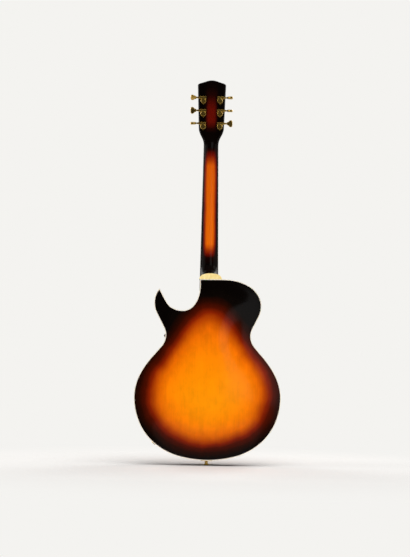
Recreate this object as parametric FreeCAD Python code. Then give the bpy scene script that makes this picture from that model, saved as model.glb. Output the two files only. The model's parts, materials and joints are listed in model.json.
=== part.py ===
import FreeCAD, Part
import math
import os

V = FreeCAD.Vector
X_AXIS = V(1, 0, 0)
Y_AXIS = V(0, 1, 0)
Z_AXIS = V(0, 0, 1)

# An archtop guitar. Millimetres. X runs to the bass side, Y out of the top, Z up the neck.
# Lengths along Z are counted from the tail edge of the body and moved at export,
# so that the origin lies in the middle of the strap button's head.

# Headings in the plan of the body
UP_ANGLE = 90.0
LEFT_ANGLE = 180.0
DOWN_ANGLE = 270.0
FULL_ANGLE = 360.0

# Body outline
BODY_LENGTH = 509.0
LOWER_BOUT_WIDTH = 413.0
WAIST_SHARE = 0.5835
SHOULDER_REACH_SHARE = 0.724
HORN_REACH_SHARE = 0.7477
HORN_TIP_REACH_SHARE = 0.678
CUTAWAY_FLOOR_REACH = 74.0
CUTAWAY_WALL_REACH = 25.0
SHOULDER_FLAT_END = 44.0
TAIL_TURN_SHARES = (0.718, 0.0916)
TAIL_TURN_ANGLE = 40.0
LOWER_BOUT_HEIGHT_SHARE = 0.345
WAIST_HEIGHT_SHARE = 0.687
HIP_SHARES = (0.395, 0.669)
HIP_ANGLE = 132.0
CHEST_SHARES = (0.35, 0.365)
CHEST_ANGLE = 62.0
SHOULDER_HEIGHT_SHARE = 0.852
SHOULDER_TURN_SHARES = (0.786, 0.734)
SHOULDER_TURN_ANGLE = 147.0
HORN_HEIGHT_SHARE = 0.867
HORN_TIP_HEIGHT_SHARE = 0.945
HORN_TIP_ANGLE = 230.0
CUTAWAY_FLOOR_HEIGHT_SHARE = 0.8245
CUTAWAY_WALL_SHARES = (0.03, 0.61)
CUTAWAY_CORNER_ANGLE = -91.0
CUTAWAY_WALL_ANGLE = -97.0
CUTAWAY_EDGE_SHARES = (0.667, 0.363)
CUTAWAY_EDGE_ANGLE = 121.0
CUTAWAY_TIP_ANGLE = 120.0

# Rims, plates and trim
RIM_DEPTH = 76.0
RIM_THICKNESS = 3.0
PLATE_THICKNESS = 5.0
BINDING_WIDTH = 2.0
GLUE_LINE = 0.05
LINING_WIDTH = 6.0
LINING_HEIGHT = 12.0
TOP_RISE = 17.0
BACK_RISE = 18.0
ARCH_EDGE_FLAT = 6.0
ARCH_RECURVE = 84.0
ARCH_STEP = 11.0
ARCH_MARGIN = 22.0
ARCH_SHOULDER_SHARE = 0.46
ARCH_DOME_WIDTH_SHARE = 0.72
ARCH_DOME_LENGTH_SHARE = 0.40
ARCH_CROWN_HEIGHT_SHARE = 0.44
OUTLINE_SAMPLES = 560
TOOL_REACH = 200.0
BEND_BALL_SHARE = 1.02
SAME_PLACE = 0.01
SAME_WAY_SHARE = 0.999

# Blocks and bars inside
NECK_BLOCK_LENGTH = 56.0
NECK_BLOCK_BASS_REACH = 40.0
TAIL_BLOCK_LENGTH = 24.0
TAIL_BLOCK_WIDTH = 84.0
TONE_BAR_WIDTH = 8.0
TONE_BAR_DEPTH = 13.0
TONE_BAR_LOW_SHARE = 0.30
TONE_BAR_HIGH_SHARE = 0.76
TONE_BAR_LOW_REACH_SHARE = 0.3002
TONE_BAR_TO_PICKUP = 15.0

# Sound holes
SOUND_HOLE_REACH_SHARE = 0.4891
SOUND_HOLE_ANGLE = 7.0
SOUND_HOLE_HALF_LENGTH_SHARE = 0.1267
SOUND_HOLE_EYE_REACH = 13.0
SOUND_HOLE_TOP_EYE_RADIUS = 7.5
SOUND_HOLE_LOW_EYE_RADIUS = 9.0
SOUND_HOLE_STROKE = 4.5
SOUND_HOLE_STEM = 11.0
SOUND_HOLE_STEM_SHARES = (0.68, 0.46)
SOUND_HOLE_NICK = 4.0

# Neck
SCALE_LENGTH = 647.7
NECK_ANGLE = 4.0
BRIDGE_HEIGHT_SHARE = 0.51
BOARD_RISE_AT_BODY = 10.0
NUT_LENGTH = 5.0
NUT_WIDTH = 43.0
NUT_RISE = 2.2
BOARD_THICKNESS = 6.0
BOARD_END_WIDTH = 56.0
BOARD_END_OVER_FLOOR = 16.8
BOARD_RADIUS = 305.0
BOARD_EDGE = 1.5
FRET_END_MARGIN = 3.0
FRETS_PER_OCTAVE = 12.0
FRET_RADIUS = 1.1
FRET_LIFT = 0.02
INLAY_FRETS = (1, 3, 5, 7, 9, 12, 15, 17, 19, 21)
INLAY_WIDTH_SHARE = 0.62
INLAY_LENGTH_SHARE = 0.55
INLAY_DEPTH = 2.0
NECK_DEPTH_AT_NUT = 15.0
NECK_DEPTH_AT_HEEL = 18.5
NECK_ROUND_SHARE = 0.56
NECK_OVERHANG = 0.4
SECTION_TOP = 6.0

# Heel
HEEL_CAP_WIDTH = 64.0
HEEL_CAP_OFFSET = 4.2
HEEL_CAP_THICKNESS = 5.0
HEEL_THROAT_WIDTH = 52.0
HEEL_NARROW_SHARES = (0.0, 0.1, 0.45, 0.95, 1.0, 1.0)
HEEL_REACHES = (17.0, 17.0, 17.5, 23.0, 46.0, 84.0)
HEEL_ROUND_SHARE = 0.62
TENON_WIDTH = 26.0
TENON_LENGTH = 22.0
TENON_LOW_SHARE = 0.14
TRUSS_ROD_RADIUS = 2.4
TRUSS_ROD_INSET = 5.0
TRUSS_CHANNEL = 5.2
TRUSS_POCKET_WIDTH = 11.0
TRUSS_POCKET_LENGTH = 17.0
TRUSS_NUT_RADIUS = 3.6
TRUSS_NUT_LENGTH = 6.0
TRUSS_NUT_START = 1.5

# Headstock
HEAD_ANGLE = 14.0
HEAD_LENGTH = 183.0
HEAD_THICKNESS = 15.0
HEAD_LOW_HALF_WIDTH = 36.5
HEAD_TOP_HALF_WIDTH = 41.5
HEAD_FLARE_LENGTH = 38.0
HEAD_FLARE_SHARES = ((0.03, 0.3), (0.78, 0.85), (1.0, 1.0), (1.0, 1.0))
HEAD_FLARE_END_SHARE = 1.18
HEAD_OVERRUN_SHARE = 1.06
HEAD_EDGE = 9.0
HEAD_EDGE_SHARES = (0.85, 0.35)
HEAD_CORNER_RADIUS = 9.0
HEAD_CORNER_ANGLE = 166.0
HEAD_CROWN_RISE = 8.0
HEAD_FACING = 2.0
TRUSS_COVER_LENGTH = 36.0
TRUSS_COVER_WIDTH = 24.0
TRUSS_COVER_TIP_WIDTH = 9.0
TRUSS_COVER_THICKNESS = 1.6
TRUSS_COVER_START = 4.0

# Tuners
TUNER_FIRST = 52.6
TUNER_PITCH = 36.9
TUNER_REACH = 24.0
TUNER_OFFSET = 8.6
TUNER_SEAT = 0.12
POST_RADIUS = 3.0
POST_FRONT = 17.0
POST_WAIST_RADIUS = 2.2
POST_WAIST_LENGTH = 6.0
POST_HOLE_RADIUS = 0.9
RUNNING_GAP = 0.06
GEAR_RADIUS = 5.9
GEAR_THICKNESS = 4.4
GEAR_GAP = 0.3
WORM_RADIUS = 2.4
WORM_LENGTH = 11.0
HOUSING_RADIUS = 8.0
HOUSING_HEIGHT = 10.4
HOUSING_EDGE = 2.2
KEY_HEIGHT = 5.2
KEY_SHAFT_RADIUS = 1.9
KEY_SHAFT_INSET = 7.0
KEY_BARREL_RADIUS = 4.6
KEY_BARREL_END = 11.0
KEY_COLLAR_RADIUS = 3.2
KEY_COLLAR_START = 12.0
KEY_BUTTON_START = 20.5
KEY_BUTTON_LENGTH = 16.5
KEY_BUTTON_WIDTH = 20.0
KEY_BUTTON_NECK = 8.0
KEY_BUTTON_THICKNESS = 7.0
KEY_BUTTON_EDGE = 2.4
KEY_BUTTON_WIDE_SHARE = 0.72
KEY_REST_ANGLES = (0.0, 86.0, 78.0, 90.0, 10.0, 50.0)
BUSHING_RADIUS = 4.8
BUSHING_FLANGE_RADIUS = 6.6
BUSHING_FLANGE = 2.0
BUSHING_DEPTH = 9.0
TUNER_SCREW_DROP = 9.9
TUNER_SCREW_RADIUS = 1.0
TUNER_SCREW_HEAD_RADIUS = 1.6
TUNER_SCREW_HEAD = 1.2
TUNER_SCREW_LENGTH = 9.0
FOOT_RADIUS = 2.4
FOOT_THICKNESS = 1.6

# Bridge
BRIDGE_LENGTH = 150.0
BRIDGE_WIDTH = 20.0
BRIDGE_WAIST_RISE = 5.0
BRIDGE_FOOT_RISE = 3.0
BRIDGE_ARCH_HALF_WIDTH = 24.0
BRIDGE_ARCH_RISE = 2.4
BRIDGE_POST_REACH = 37.0
BRIDGE_POST_RADIUS = 2.5
BRIDGE_POST_SINK = 4.0
WHEEL_RADIUS = 9.5
WHEEL_THICKNESS = 3.0
WHEEL_LIFT = 4.0
WHEEL_SEAT = 0.1
SADDLE_LENGTH = 92.0
SADDLE_WIDTH = 10.0
SADDLE_RIDGE = 3.0
SADDLE_TOP_OVER_BOARD = 5.4
SADDLE_SHOULDER = 6.0

# Strings
STRING_RADII = (0.16, 0.2, 0.28, 0.38, 0.48, 0.6)
NUT_STRING_SPAN = 36.0
SADDLE_STRING_SPAN = 52.0
NUT_STRING_LIFT = 1.6
POST_STRING_HEIGHT = 9.0
STRING_GAP = 0.08

# Tailpiece
TAIL_BAR_HEIGHT = 116.0
TAIL_BAR_LIFT = 68.0
TAIL_BAR_LENGTH = 84.0
TAIL_BAR_WIDTH = 14.0
TAIL_BAR_THICKNESS = 9.0
TAIL_BAR_EDGE = 2.5
TAIL_ANCHOR_DROP = 3.0
TAIL_LEG_RADIUS = 2.6
TAIL_LEG_RISE = 9.0
TAIL_BRACKET_WIDTH = 32.0
TAIL_BRACKET_THICKNESS = 2.0
TAIL_BRACKET_LOW = 30.0
TAIL_BRACKET_HIGH = 48.0
TAIL_KNUCKLE_RADIUS = 3.4
TAIL_PIN_RADIUS = 1.6
TAIL_KNUCKLE_GAP = 0.3
TAIL_KNUCKLE_SHARE = 0.26
TAIL_SCREW_RADIUS = 1.8
TAIL_SCREW_HEAD_RADIUS = 3.4
TAIL_SCREW_HEAD = 1.8
TAIL_SCREW_LENGTH = 16.0
TAIL_SCREW_REACH = 9.0
TAIL_SCREW_HEIGHT = 20.0

# Strap button
STRAP_NECK_RADIUS = 4.2
STRAP_HEAD_RADIUS = 7.0
STRAP_BASE_RADIUS = 6.5
STRAP_NECK_LENGTH = 8.0
STRAP_HEAD_LENGTH = 3.4
STRAP_BASE_LENGTH = 1.4
STRAP_HEAD_EDGE = 0.8
STRAP_SCREW_RADIUS = 2.6
STRAP_SCREW_LENGTH = 20.0

# Pickguard
GUARD_THICKNESS = 3.0
GUARD_GAP_TO_PICKUP = 0.8
GUARD_UNDER_BOARD = 4.0
GUARD_TOP_SHARE = 0.80
GUARD_LOW_SHARE = 0.53
GUARD_BEND_SHARES = (0.42, 0.60)
GUARD_WIDE_SHARE = 0.80
GUARD_TOE_SHARE = 0.70
GUARD_TOP_ANGLE = 212.0
GUARD_BEND_ANGLE = 246.0
GUARD_EDGE = 0.8
GUARD_WIDTH = 44.0
GUARD_ROD_RADIUS = 2.0
GUARD_ROD_REACH_SHARE = 0.6
GUARD_FOOT_HEIGHT = 8.0
GUARD_FOOT_RADIUS = 5.0
GUARD_FOOT_THICKNESS = 2.0
GUARD_ROD_GAP = 0.2

# Pickups
PICKUP_LENGTH = 70.0
PICKUP_WIDTH = 38.5
PICKUP_DEPTH = 22.0
PICKUP_EDGE = 2.0
PICKUP_RING_LENGTH = 90.0
PICKUP_RING_WIDTH = 46.0
PICKUP_RING_RISE = 4.0
PICKUP_FIT = 0.4
PICKUP_UNDER_STRING = 4.0
PICKUP_ROUT_SLACK = 1.5
NECK_PICKUP_UNDER_FLOOR = 17.2
BRIDGE_PICKUP_GAP = 42.0
POLE_RADIUS = 2.4
POLE_RISE = 0.8
POLE_SINK = 3.0
POLE_SPAN = 49.0
POLE_OFFSET = 9.0
POLE_FIT = 0.05

# Knobs and potentiometers
KNOB_PLACE_SHARES = ((-0.4455, 0.2986), (-0.707, 0.3458), (-0.3487, 0.1925), (-0.6199, 0.2279))
KNOB_RADIUS = 12.4
KNOB_TOP_RADIUS = 10.6
KNOB_HEIGHT = 14.0
KNOB_LIFT = 1.6
KNOB_HOLLOW_RADIUS = 9.0
KNOB_HOLLOW = 5.0
KNOB_SHAFT_GRIP = 2.5
KNOB_TOP_DISH = 1.0
KNOB_DISH_RADIUS = 7.5
POT_SHAFT_RADIUS = 3.0
POT_SHAFT_DEPTH = 10.0
POT_BUSHING_RADIUS = 4.7
POT_HOLE_RADIUS = 5.0
POT_NUT_RADIUS = 7.0
POT_NUT_THICKNESS = 2.2
POT_RADIUS = 12.0
POT_DEPTH = 9.0
POT_TOP_GAP = 0.6

# Switch
SWITCH_PLACE_SHARES = (0.4262, 0.8409)
SWITCH_HOLE_RADIUS = 6.2
SWITCH_BUSHING_RADIUS = 5.9
SWITCH_BORE_RADIUS = 4.0
SWITCH_NUT_RADIUS = 9.0
SWITCH_NUT_THICKNESS = 2.6
SWITCH_BODY_RADIUS = 9.0
SWITCH_BODY_DEPTH = 26.0
SWITCH_BALL_RADIUS = 3.2
SWITCH_LEVER_RADIUS = 1.5
SWITCH_LEVER_LENGTH = 17.0
SWITCH_TIP_RADIUS = 4.4
SWITCH_TIP_LENGTH = 9.0
SWITCH_TIP_TAPER_SHARE = 0.7
SWITCH_TIP_EDGE = 1.4
SWITCH_SWING_ANGLE = 12.0

# Output jack
JACK_BORE_RADIUS = 3.25
JACK_BUSHING_RADIUS = 4.7
JACK_HOLE_RADIUS = 4.9
JACK_WASHER_RADIUS = 8.5
JACK_WASHER = 1.4
JACK_NUT_RADIUS = 6.6
JACK_NUT = 2.4
JACK_LENGTH = 15.0
JACK_BODY_RADIUS = 7.4
JACK_BODY_LENGTH = 7.0
JACK_BODY_GAP = 0.5

# Clear spaces beside the neck and at the waist
CUTAWAY_OPENING_INSET = 6.0
CUTAWAY_OPENING_PAST = 5.0
WAIST_OPENING_REACH_SHARE = 0.5
WAIST_OPENING_LOW_SHARE = 0.6
WAIST_OPENING_HIGH_SHARE = 0.43

# Motion
SADDLE_DROP = 3.0
SADDLE_LIFT = 2.0
WHEEL_THREAD_PITCH = 0.7

# Places that follow from the sizes
HALF_RIM = RIM_DEPTH / 2
FACE = HALF_RIM + PLATE_THICKNESS
HALF_BOUT = LOWER_BOUT_WIDTH / 2
HALF_WAIST = WAIST_SHARE * HALF_BOUT
SHOULDER_REACH = SHOULDER_REACH_SHARE * HALF_BOUT
HORN_REACH = HORN_REACH_SHARE * HALF_BOUT
HORN_TIP_REACH = HORN_TIP_REACH_SHARE * HALF_BOUT
CUTAWAY_FLOOR_HEIGHT = CUTAWAY_FLOOR_HEIGHT_SHARE * BODY_LENGTH
BRIDGE_HEIGHT = BRIDGE_HEIGHT_SHARE * BODY_LENGTH
NUT_HEIGHT = BRIDGE_HEIGHT + SCALE_LENGTH
NECK_SLOPE = math.tan(math.radians(NECK_ANGLE))
BOARD_END_HEIGHT = CUTAWAY_FLOOR_HEIGHT + BOARD_END_OVER_FLOOR
BOARD_LENGTH = (NUT_HEIGHT - BOARD_END_HEIGHT) / math.cos(math.radians(NECK_ANGLE))
BOARD_AT_BODY = FACE + BOARD_RISE_AT_BODY
BOARD_AT_NUT = BOARD_AT_BODY - NECK_SLOPE * (NUT_HEIGHT - BODY_LENGTH)
STRAP_BUTTON_Z = -TAIL_BRACKET_THICKNESS - STRAP_BASE_LENGTH - STRAP_NECK_LENGTH - STRAP_HEAD_LENGTH / 2
NECK_FRAME = FreeCAD.Placement(V(0, BOARD_AT_NUT, NUT_HEIGHT), FreeCAD.Rotation(X_AXIS, NECK_ANGLE))
HEAD_FRAME = NECK_FRAME.multiply(
    FreeCAD.Placement(V(0, 0, NUT_LENGTH), FreeCAD.Rotation(X_AXIS, HEAD_ANGLE)))


# Small helpers

def mix(low, high, share):
    return low + (high - low) * share


def flat(x, z):
    return V(x, 0, z)


def heading(degrees):
    turn = math.radians(degrees)
    return V(math.cos(turn), 0, math.sin(turn))


def unit(vector):
    return vector * (1.0 / vector.Length)


def arc_edge(start, tangent, end):
    """An arc, or a line where it would be straight, that leaves start along tangent."""
    chord = end - start
    along = unit(chord)
    sideways = tangent - along * tangent.dot(along)
    if sideways.Length < 1e-6:
        return Part.LineSegment(start, end).toShape()
    half_turn = math.acos(max(-1.0, min(1.0, tangent.dot(along))))
    bulge = chord.Length / 2 * math.tan(half_turn / 2)
    return Part.Arc(start, (start + end) * 0.5 + unit(sideways) * bulge, end).toShape()


def two_arcs(start, start_heading, end, end_heading):
    """Two arcs that meet smoothly and keep both headings."""
    leave = heading(start_heading)
    arrive = heading(end_heading)
    span = end - start
    both = span.dot(leave + arrive)
    bend = 2 - 2 * leave.dot(arrive)
    if bend < 1e-9:
        reach = span.dot(span) / (2 * both)
    else:
        reach = (math.sqrt(both * both + bend * span.dot(span)) - both) / bend
    first = start + leave * reach
    second = end - arrive * reach
    return [arc_edge(start, leave, (first + second) * 0.5),
            arc_edge((first + second) * 0.5, unit(second - first), end)]


def run_of_arcs(nodes):
    edges = []
    for (start, start_heading), (end, end_heading) in zip(nodes, nodes[1:]):
        edges += two_arcs(start, start_heading, end, end_heading)
    return edges


def line(start, end):
    return Part.LineSegment(start, end).toShape()


def polygon_face(points):
    return Part.Face(Part.makePolygon(list(points) + [points[0]]))


def slab(face, low, high):
    """A face of the XZ plane made solid from y = low to y = high."""
    return face.translated(V(0, low, 0)).extrude(V(0, high - low, 0))


def cylinder(radius, start, end):
    return Part.makeCylinder(radius, (end - start).Length, start, end - start)


def cone(start_radius, end_radius, start, end):
    return Part.makeCone(start_radius, end_radius, (end - start).Length, start, end - start)


def block(low, high):
    size = high - low
    return Part.makeBox(size.x, size.y, size.z, low)


def turned(profile):
    """A solid of revolution about the Y axis from (radius, height) pairs."""
    face = polygon_face([V(radius, height, 0) for radius, height in profile])
    return face.revolve(V(0, 0, 0), Y_AXIS, FULL_ANGLE)


def put(shape, placement):
    copy = shape.copy()
    copy.Placement = placement.multiply(copy.Placement)
    return copy


def fuse(shapes):
    """One shape from several, with the seams between flush faces taken out where that holds."""
    whole = shapes[0]
    for shape in shapes[1:]:
        whole = whole.fuse(shape)
    clean = whole.removeSplitter()
    return clean if clean.isValid() else whole


def carve(shape, tools):
    """The shape with each tool cut out of it in turn."""
    for tool in tools:
        shape = shape.cut(tool)
    return shape


def group(shapes):
    return Part.makeCompound(shapes)


def rod(points, radius):
    """A round rod through the points, with a ball at each bend."""
    pieces = [cylinder(radius, a, b) for a, b in zip(points, points[1:])]
    pieces += [Part.makeSphere(radius * BEND_BALL_SHARE, point) for point in points[1:-1]]
    return pieces[0].fuse(pieces[1:])


def mirrored(shape):
    return shape.mirror(V(0, 0, 0), X_AXIS)


def even_knots(count):
    """Knots and their repeats for an even cubic run of poles that ends on its first and last."""
    knots = [float(k) for k in range(count - 2)]
    return knots, [4] + [1] * (len(knots) - 2) + [4]


def stations(count):
    """Shares of a run where the poles of an even cubic lie, so that it goes along at a steady pace."""
    spans = count - 3
    places = [0, 1 / 3.0] + list(range(1, spans)) + [spans - 1 / 3.0, spans]
    return [place / float(spans) for place in places]


def straight(start, end):
    """A straight side of a section, as the four poles of a cubic."""
    return [start, start + (end - start) * (1 / 3.0), start + (end - start) * (2 / 3.0), end]


def halves(side):
    """The same cubic side, parted in the middle."""
    start, second, third, end = side
    centre = (second + third) * 0.5
    first_arm = (start + second) * 0.5
    last_arm = (third + end) * 0.5
    before = (first_arm + centre) * 0.5
    after = (centre + last_arm) * 0.5
    middle = (before + after) * 0.5
    return [[start, first_arm, before, middle], [middle, after, last_arm, end]]


def loop(sides):
    """The poles of a closed section from its cubic sides in order."""
    poles = [sides[0][0]]
    for side in sides:
        poles += side[1:]
    return poles


def skin_solid(runs):
    """A solid with a skin drawn along runs of sections, each a closed loop of cubic sides.

    A run of two sections is straight, and a longer one is an even cubic.
    """
    faces = []
    sides = range((len(runs[0][0]) - 1) // 3)
    for sections in runs:
        degree, knots, repeats = 1, [0.0, 1.0], [2, 2]
        if len(sections) > 2:
            degree = 3
            knots, repeats = even_knots(len(sections))
        for side in sides:
            poles = [[section[3 * side + k] for section in sections] for k in range(4)]
            patch = Part.BSplineSurface()
            patch.buildFromPolesMultsKnots(poles, [4, 4], repeats, [0.0, 1.0], knots, False, False, 3,
                                           degree)
            faces.append(patch.toShape())
    for section in (runs[0][0], runs[-1][-1]):
        edges = []
        for side in sides:
            curve = Part.BezierCurve()
            curve.setPoles(section[3 * side:3 * side + 4])
            edges.append(curve.toShape())
        faces.append(Part.Face(Part.Wire(edges)))
    shell = Part.makeShell(faces)
    shell.sewShape()
    solid = Part.makeSolid(shell)
    if solid.Volume < 0:
        solid.reverse()
    return solid


def face_on(shape, point, normal):
    """The largest flat face of the shape that lies on the plane."""
    found = []
    for face in shape.Faces:
        if isinstance(face.Surface, Part.Plane):
            out = face.normalAt(0, 0)
            near = abs((face.CenterOfMass - point).dot(normal)) < SAME_PLACE
            if near and out.dot(normal) > SAME_WAY_SHARE:
                found.append(face)
    return max(found, key=lambda face: face.Area)


# Body outline

def outline_nodes():
    bout_z = LOWER_BOUT_HEIGHT_SHARE * BODY_LENGTH
    waist_z = WAIST_HEIGHT_SHARE * BODY_LENGTH
    shoulder_z = SHOULDER_HEIGHT_SHARE * BODY_LENGTH
    horn_z = HORN_HEIGHT_SHARE * BODY_LENGTH
    tip_z = HORN_TIP_HEIGHT_SHARE * BODY_LENGTH
    floor_z = CUTAWAY_FLOOR_HEIGHT
    tail = flat(0, 0)
    turn = flat(TAIL_TURN_SHARES[0] * HALF_BOUT, TAIL_TURN_SHARES[1] * BODY_LENGTH)
    bout = flat(HALF_BOUT, bout_z)
    hip = flat(mix(HALF_WAIST, HALF_BOUT, HIP_SHARES[0]), mix(bout_z, waist_z, HIP_SHARES[1]))
    waist = flat(HALF_WAIST, waist_z)
    chest = flat(mix(HALF_WAIST, SHOULDER_REACH, CHEST_SHARES[0]),
                 mix(waist_z, shoulder_z, CHEST_SHARES[1]))
    shoulder = flat(SHOULDER_REACH, shoulder_z)
    shoulder_turn = flat(SHOULDER_TURN_SHARES[0] * SHOULDER_REACH,
                         mix(shoulder_z, BODY_LENGTH, SHOULDER_TURN_SHARES[1]))
    corner = flat(-CUTAWAY_WALL_REACH, BODY_LENGTH)
    wall = flat(-mix(CUTAWAY_WALL_REACH, CUTAWAY_FLOOR_REACH, CUTAWAY_WALL_SHARES[0]),
                mix(floor_z, BODY_LENGTH, CUTAWAY_WALL_SHARES[1]))
    floor = flat(-CUTAWAY_FLOOR_REACH, floor_z)
    edge = flat(-mix(CUTAWAY_FLOOR_REACH, HORN_TIP_REACH, CUTAWAY_EDGE_SHARES[0]),
                mix(floor_z, tip_z, CUTAWAY_EDGE_SHARES[1]))
    tip = flat(-HORN_TIP_REACH, tip_z)
    horn = flat(-HORN_REACH, horn_z)
    horn_chest = flat(-mix(HALF_WAIST, HORN_REACH, CHEST_SHARES[0]),
                      mix(waist_z, horn_z, CHEST_SHARES[1]))
    bass = [(tail, 0), (turn, TAIL_TURN_ANGLE), (bout, UP_ANGLE), (hip, HIP_ANGLE), (waist, UP_ANGLE),
            (chest, CHEST_ANGLE), (shoulder, UP_ANGLE), (shoulder_turn, SHOULDER_TURN_ANGLE),
            (flat(SHOULDER_FLAT_END, BODY_LENGTH), LEFT_ANGLE)]
    cutaway = [(corner, CUTAWAY_CORNER_ANGLE), (wall, CUTAWAY_WALL_ANGLE), (floor, LEFT_ANGLE),
               (edge, CUTAWAY_EDGE_ANGLE), (tip, CUTAWAY_TIP_ANGLE)]
    treble = [(tip, HORN_TIP_ANGLE), (horn, DOWN_ANGLE), (horn_chest, -CHEST_ANGLE),
              (flat(-HALF_WAIST, waist_z), DOWN_ANGLE), (flat(-hip.x, hip.z), FULL_ANGLE - HIP_ANGLE),
              (flat(-HALF_BOUT, bout_z), DOWN_ANGLE), (flat(-turn.x, turn.z), -TAIL_TURN_ANGLE),
              (tail, 0)]
    return bass, cutaway, treble


def body_outline():
    bass, cutaway, treble = outline_nodes()
    edges = run_of_arcs(bass)
    edges.append(line(bass[-1][0], cutaway[0][0]))
    edges += run_of_arcs(cutaway)
    edges += run_of_arcs(treble)
    return Part.Wire(edges)


def inset_face(outline, distance):
    """The body outline drawn in by a distance, or out by a negative one, as a face."""
    if distance == 0:
        return Part.Face(outline)
    return Part.Face(outline.makeOffset2D(-distance, 0, False, False))


# Carved arch shared by the top and the back

class Arch:
    """A smooth height field: the edge lies at the rim's face and the crown rises from it."""

    def __init__(self, outline):
        points = outline.discretize(Number=OUTLINE_SAMPLES + 1)[:-1]
        self.rim = [(point.x, point.z) for point in points]
        self.piece = outline.Length / OUTLINE_SAMPLES
        self.low_x = -HALF_BOUT - ARCH_MARGIN
        self.low_z = -ARCH_MARGIN
        self.columns = int((LOWER_BOUT_WIDTH + 2 * ARCH_MARGIN) / ARCH_STEP) + 4
        self.rows = int((BODY_LENGTH + 2 * ARCH_MARGIN) / ARCH_STEP) + 4
        self.shares = [[self.share(self.low_x + self.node(i, self.columns) * ARCH_STEP,
                                   self.low_z + self.node(j, self.rows) * ARCH_STEP)
                        for j in range(self.rows)] for i in range(self.columns)]

    def node(self, index, count):
        """Where a pole of an even cubic surface lies, in steps."""
        knots = [min(max(k - 3, 0), count - 3) for k in range(index + 1, index + 4)]
        return sum(knots) / 3.0

    def inside(self, x, z):
        crossings = 0
        for (ax, az), (bx, bz) in zip(self.rim, self.rim[1:] + self.rim[:1]):
            if (az > z) != (bz > z) and x < ax + (z - az) * (bx - ax) / (bz - az):
                crossings += 1
        return crossings % 2 == 1

    def share(self, x, z):
        """How much of the full rise stands at a place, from 0 at the edge to 1 at the crown."""
        if not self.inside(x, z):
            return 0.0
        pull = 0.0
        for ax, az in self.rim:
            away = (x - ax) ** 2 + (z - az) ** 2 + 1.0
            pull += self.piece / (away * away)
        from_edge = (pull / (math.pi / 2)) ** (-1.0 / 3.0)
        climb = min(max((from_edge - ARCH_EDGE_FLAT) / ARCH_RECURVE, 0.0), 1.0)
        climb = climb * climb * (3 - 2 * climb)
        across = x / (ARCH_DOME_WIDTH_SHARE * HALF_BOUT)
        along = (z - ARCH_CROWN_HEIGHT_SHARE * BODY_LENGTH) / (ARCH_DOME_LENGTH_SHARE * BODY_LENGTH)
        dome = math.exp(-across * across - along * along)
        return climb * mix(ARCH_SHOULDER_SHARE, 1.0, dome)

    def surface(self, edge, rise):
        poles = []
        for i in range(self.columns):
            x = self.low_x + self.node(i, self.columns) * ARCH_STEP
            poles.append([V(x, edge + rise * self.shares[i][j],
                            self.low_z + self.node(j, self.rows) * ARCH_STEP)
                          for j in range(self.rows)])
        patch = Part.BSplineSurface()
        knots_u, repeats_u = even_knots(self.columns)
        knots_v, repeats_v = even_knots(self.rows)
        patch.buildFromPolesMultsKnots(poles, repeats_u, repeats_v, knots_u, knots_v, False, False, 3, 3)
        return patch

    def at(self, patch, x, z):
        return patch.value((x - self.low_x) / ARCH_STEP, (z - self.low_z) / ARCH_STEP)

    def window(self, patch, low, high):
        """The part of the surface over a rectangle, as a face."""
        copy = patch.copy()
        copy.segment((low.x - self.low_x) / ARCH_STEP, (high.x - self.low_x) / ARCH_STEP,
                     (low.z - self.low_z) / ARCH_STEP, (high.z - self.low_z) / ARCH_STEP)
        return copy.toShape()

    def frame(self, patch, x, z):
        """A placement on the surface: its Y axis is the outward normal."""
        reach = ARCH_STEP
        slope_x = (self.at(patch, x + reach, z).y - self.at(patch, x - reach, z).y) / (2 * reach)
        slope_z = (self.at(patch, x, z + reach).y - self.at(patch, x, z - reach).y) / (2 * reach)
        out = unit(V(-slope_x, 1, -slope_z))
        return FreeCAD.Placement(self.at(patch, x, z), FreeCAD.Rotation(Y_AXIS, out))


def under(face):
    """Everything below a top surface window."""
    return face.extrude(V(0, -TOOL_REACH, 0))


# Plates, rims, linings, bindings

def sound_hole():
    """The bass-side sound hole as a face: two eyes joined by a curved stem with two nicks."""
    eye = SOUND_HOLE_EYE_REACH
    top = SOUND_HOLE_HALF_LENGTH_SHARE * BODY_LENGTH
    half_stem = SOUND_HOLE_STEM / 2
    stem_top = SOUND_HOLE_STEM_SHARES[0] * top
    stem_low = SOUND_HOLE_STEM_SHARES[1] * top
    stroke = top - SOUND_HOLE_STROKE
    right = [(flat(-eye, top), 0), (flat(half_stem, stem_top), DOWN_ANGLE),
             (flat(half_stem, -stem_low), DOWN_ANGLE), (flat(eye, -stroke), 0)]
    left = [(flat(eye, -top), LEFT_ANGLE), (flat(-half_stem, -stem_top), UP_ANGLE),
            (flat(-half_stem, stem_low), UP_ANGLE), (flat(-eye, stroke), LEFT_ANGLE)]
    edges = run_of_arcs(right)
    edges.append(line(right[-1][0], left[0][0]))
    edges += run_of_arcs(left)
    edges.append(line(left[-1][0], right[0][0]))
    stem = Part.Face(Part.Wire(edges))
    eyes = []
    for radius, side in ((SOUND_HOLE_TOP_EYE_RADIUS, 1), (SOUND_HOLE_LOW_EYE_RADIUS, -1)):
        centre = flat(-side * eye, side * (top - radius))
        eyes.append(Part.Face(Part.Wire(Part.makeCircle(radius, centre, Y_AXIS))))
    nick = SOUND_HOLE_NICK
    nicks = polygon_face([flat(-half_stem - nick, 0), flat(0, nick), flat(half_stem + nick, 0),
                          flat(0, -nick)])
    hole = fuse([stem] + eyes + [nicks])
    place = FreeCAD.Placement(flat(SOUND_HOLE_REACH_SHARE * HALF_BOUT, BRIDGE_HEIGHT),
                              FreeCAD.Rotation(Y_AXIS, -SOUND_HOLE_ANGLE))
    return put(hole, place)


def rectangle(low_x, high_x, low_z, high_z):
    return polygon_face([flat(low_x, low_z), flat(high_x, low_z), flat(high_x, high_z),
                         flat(low_x, high_z)])


def pickup_heights():
    return CUTAWAY_FLOOR_HEIGHT - NECK_PICKUP_UNDER_FLOOR, BRIDGE_HEIGHT + BRIDGE_PICKUP_GAP


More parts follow.
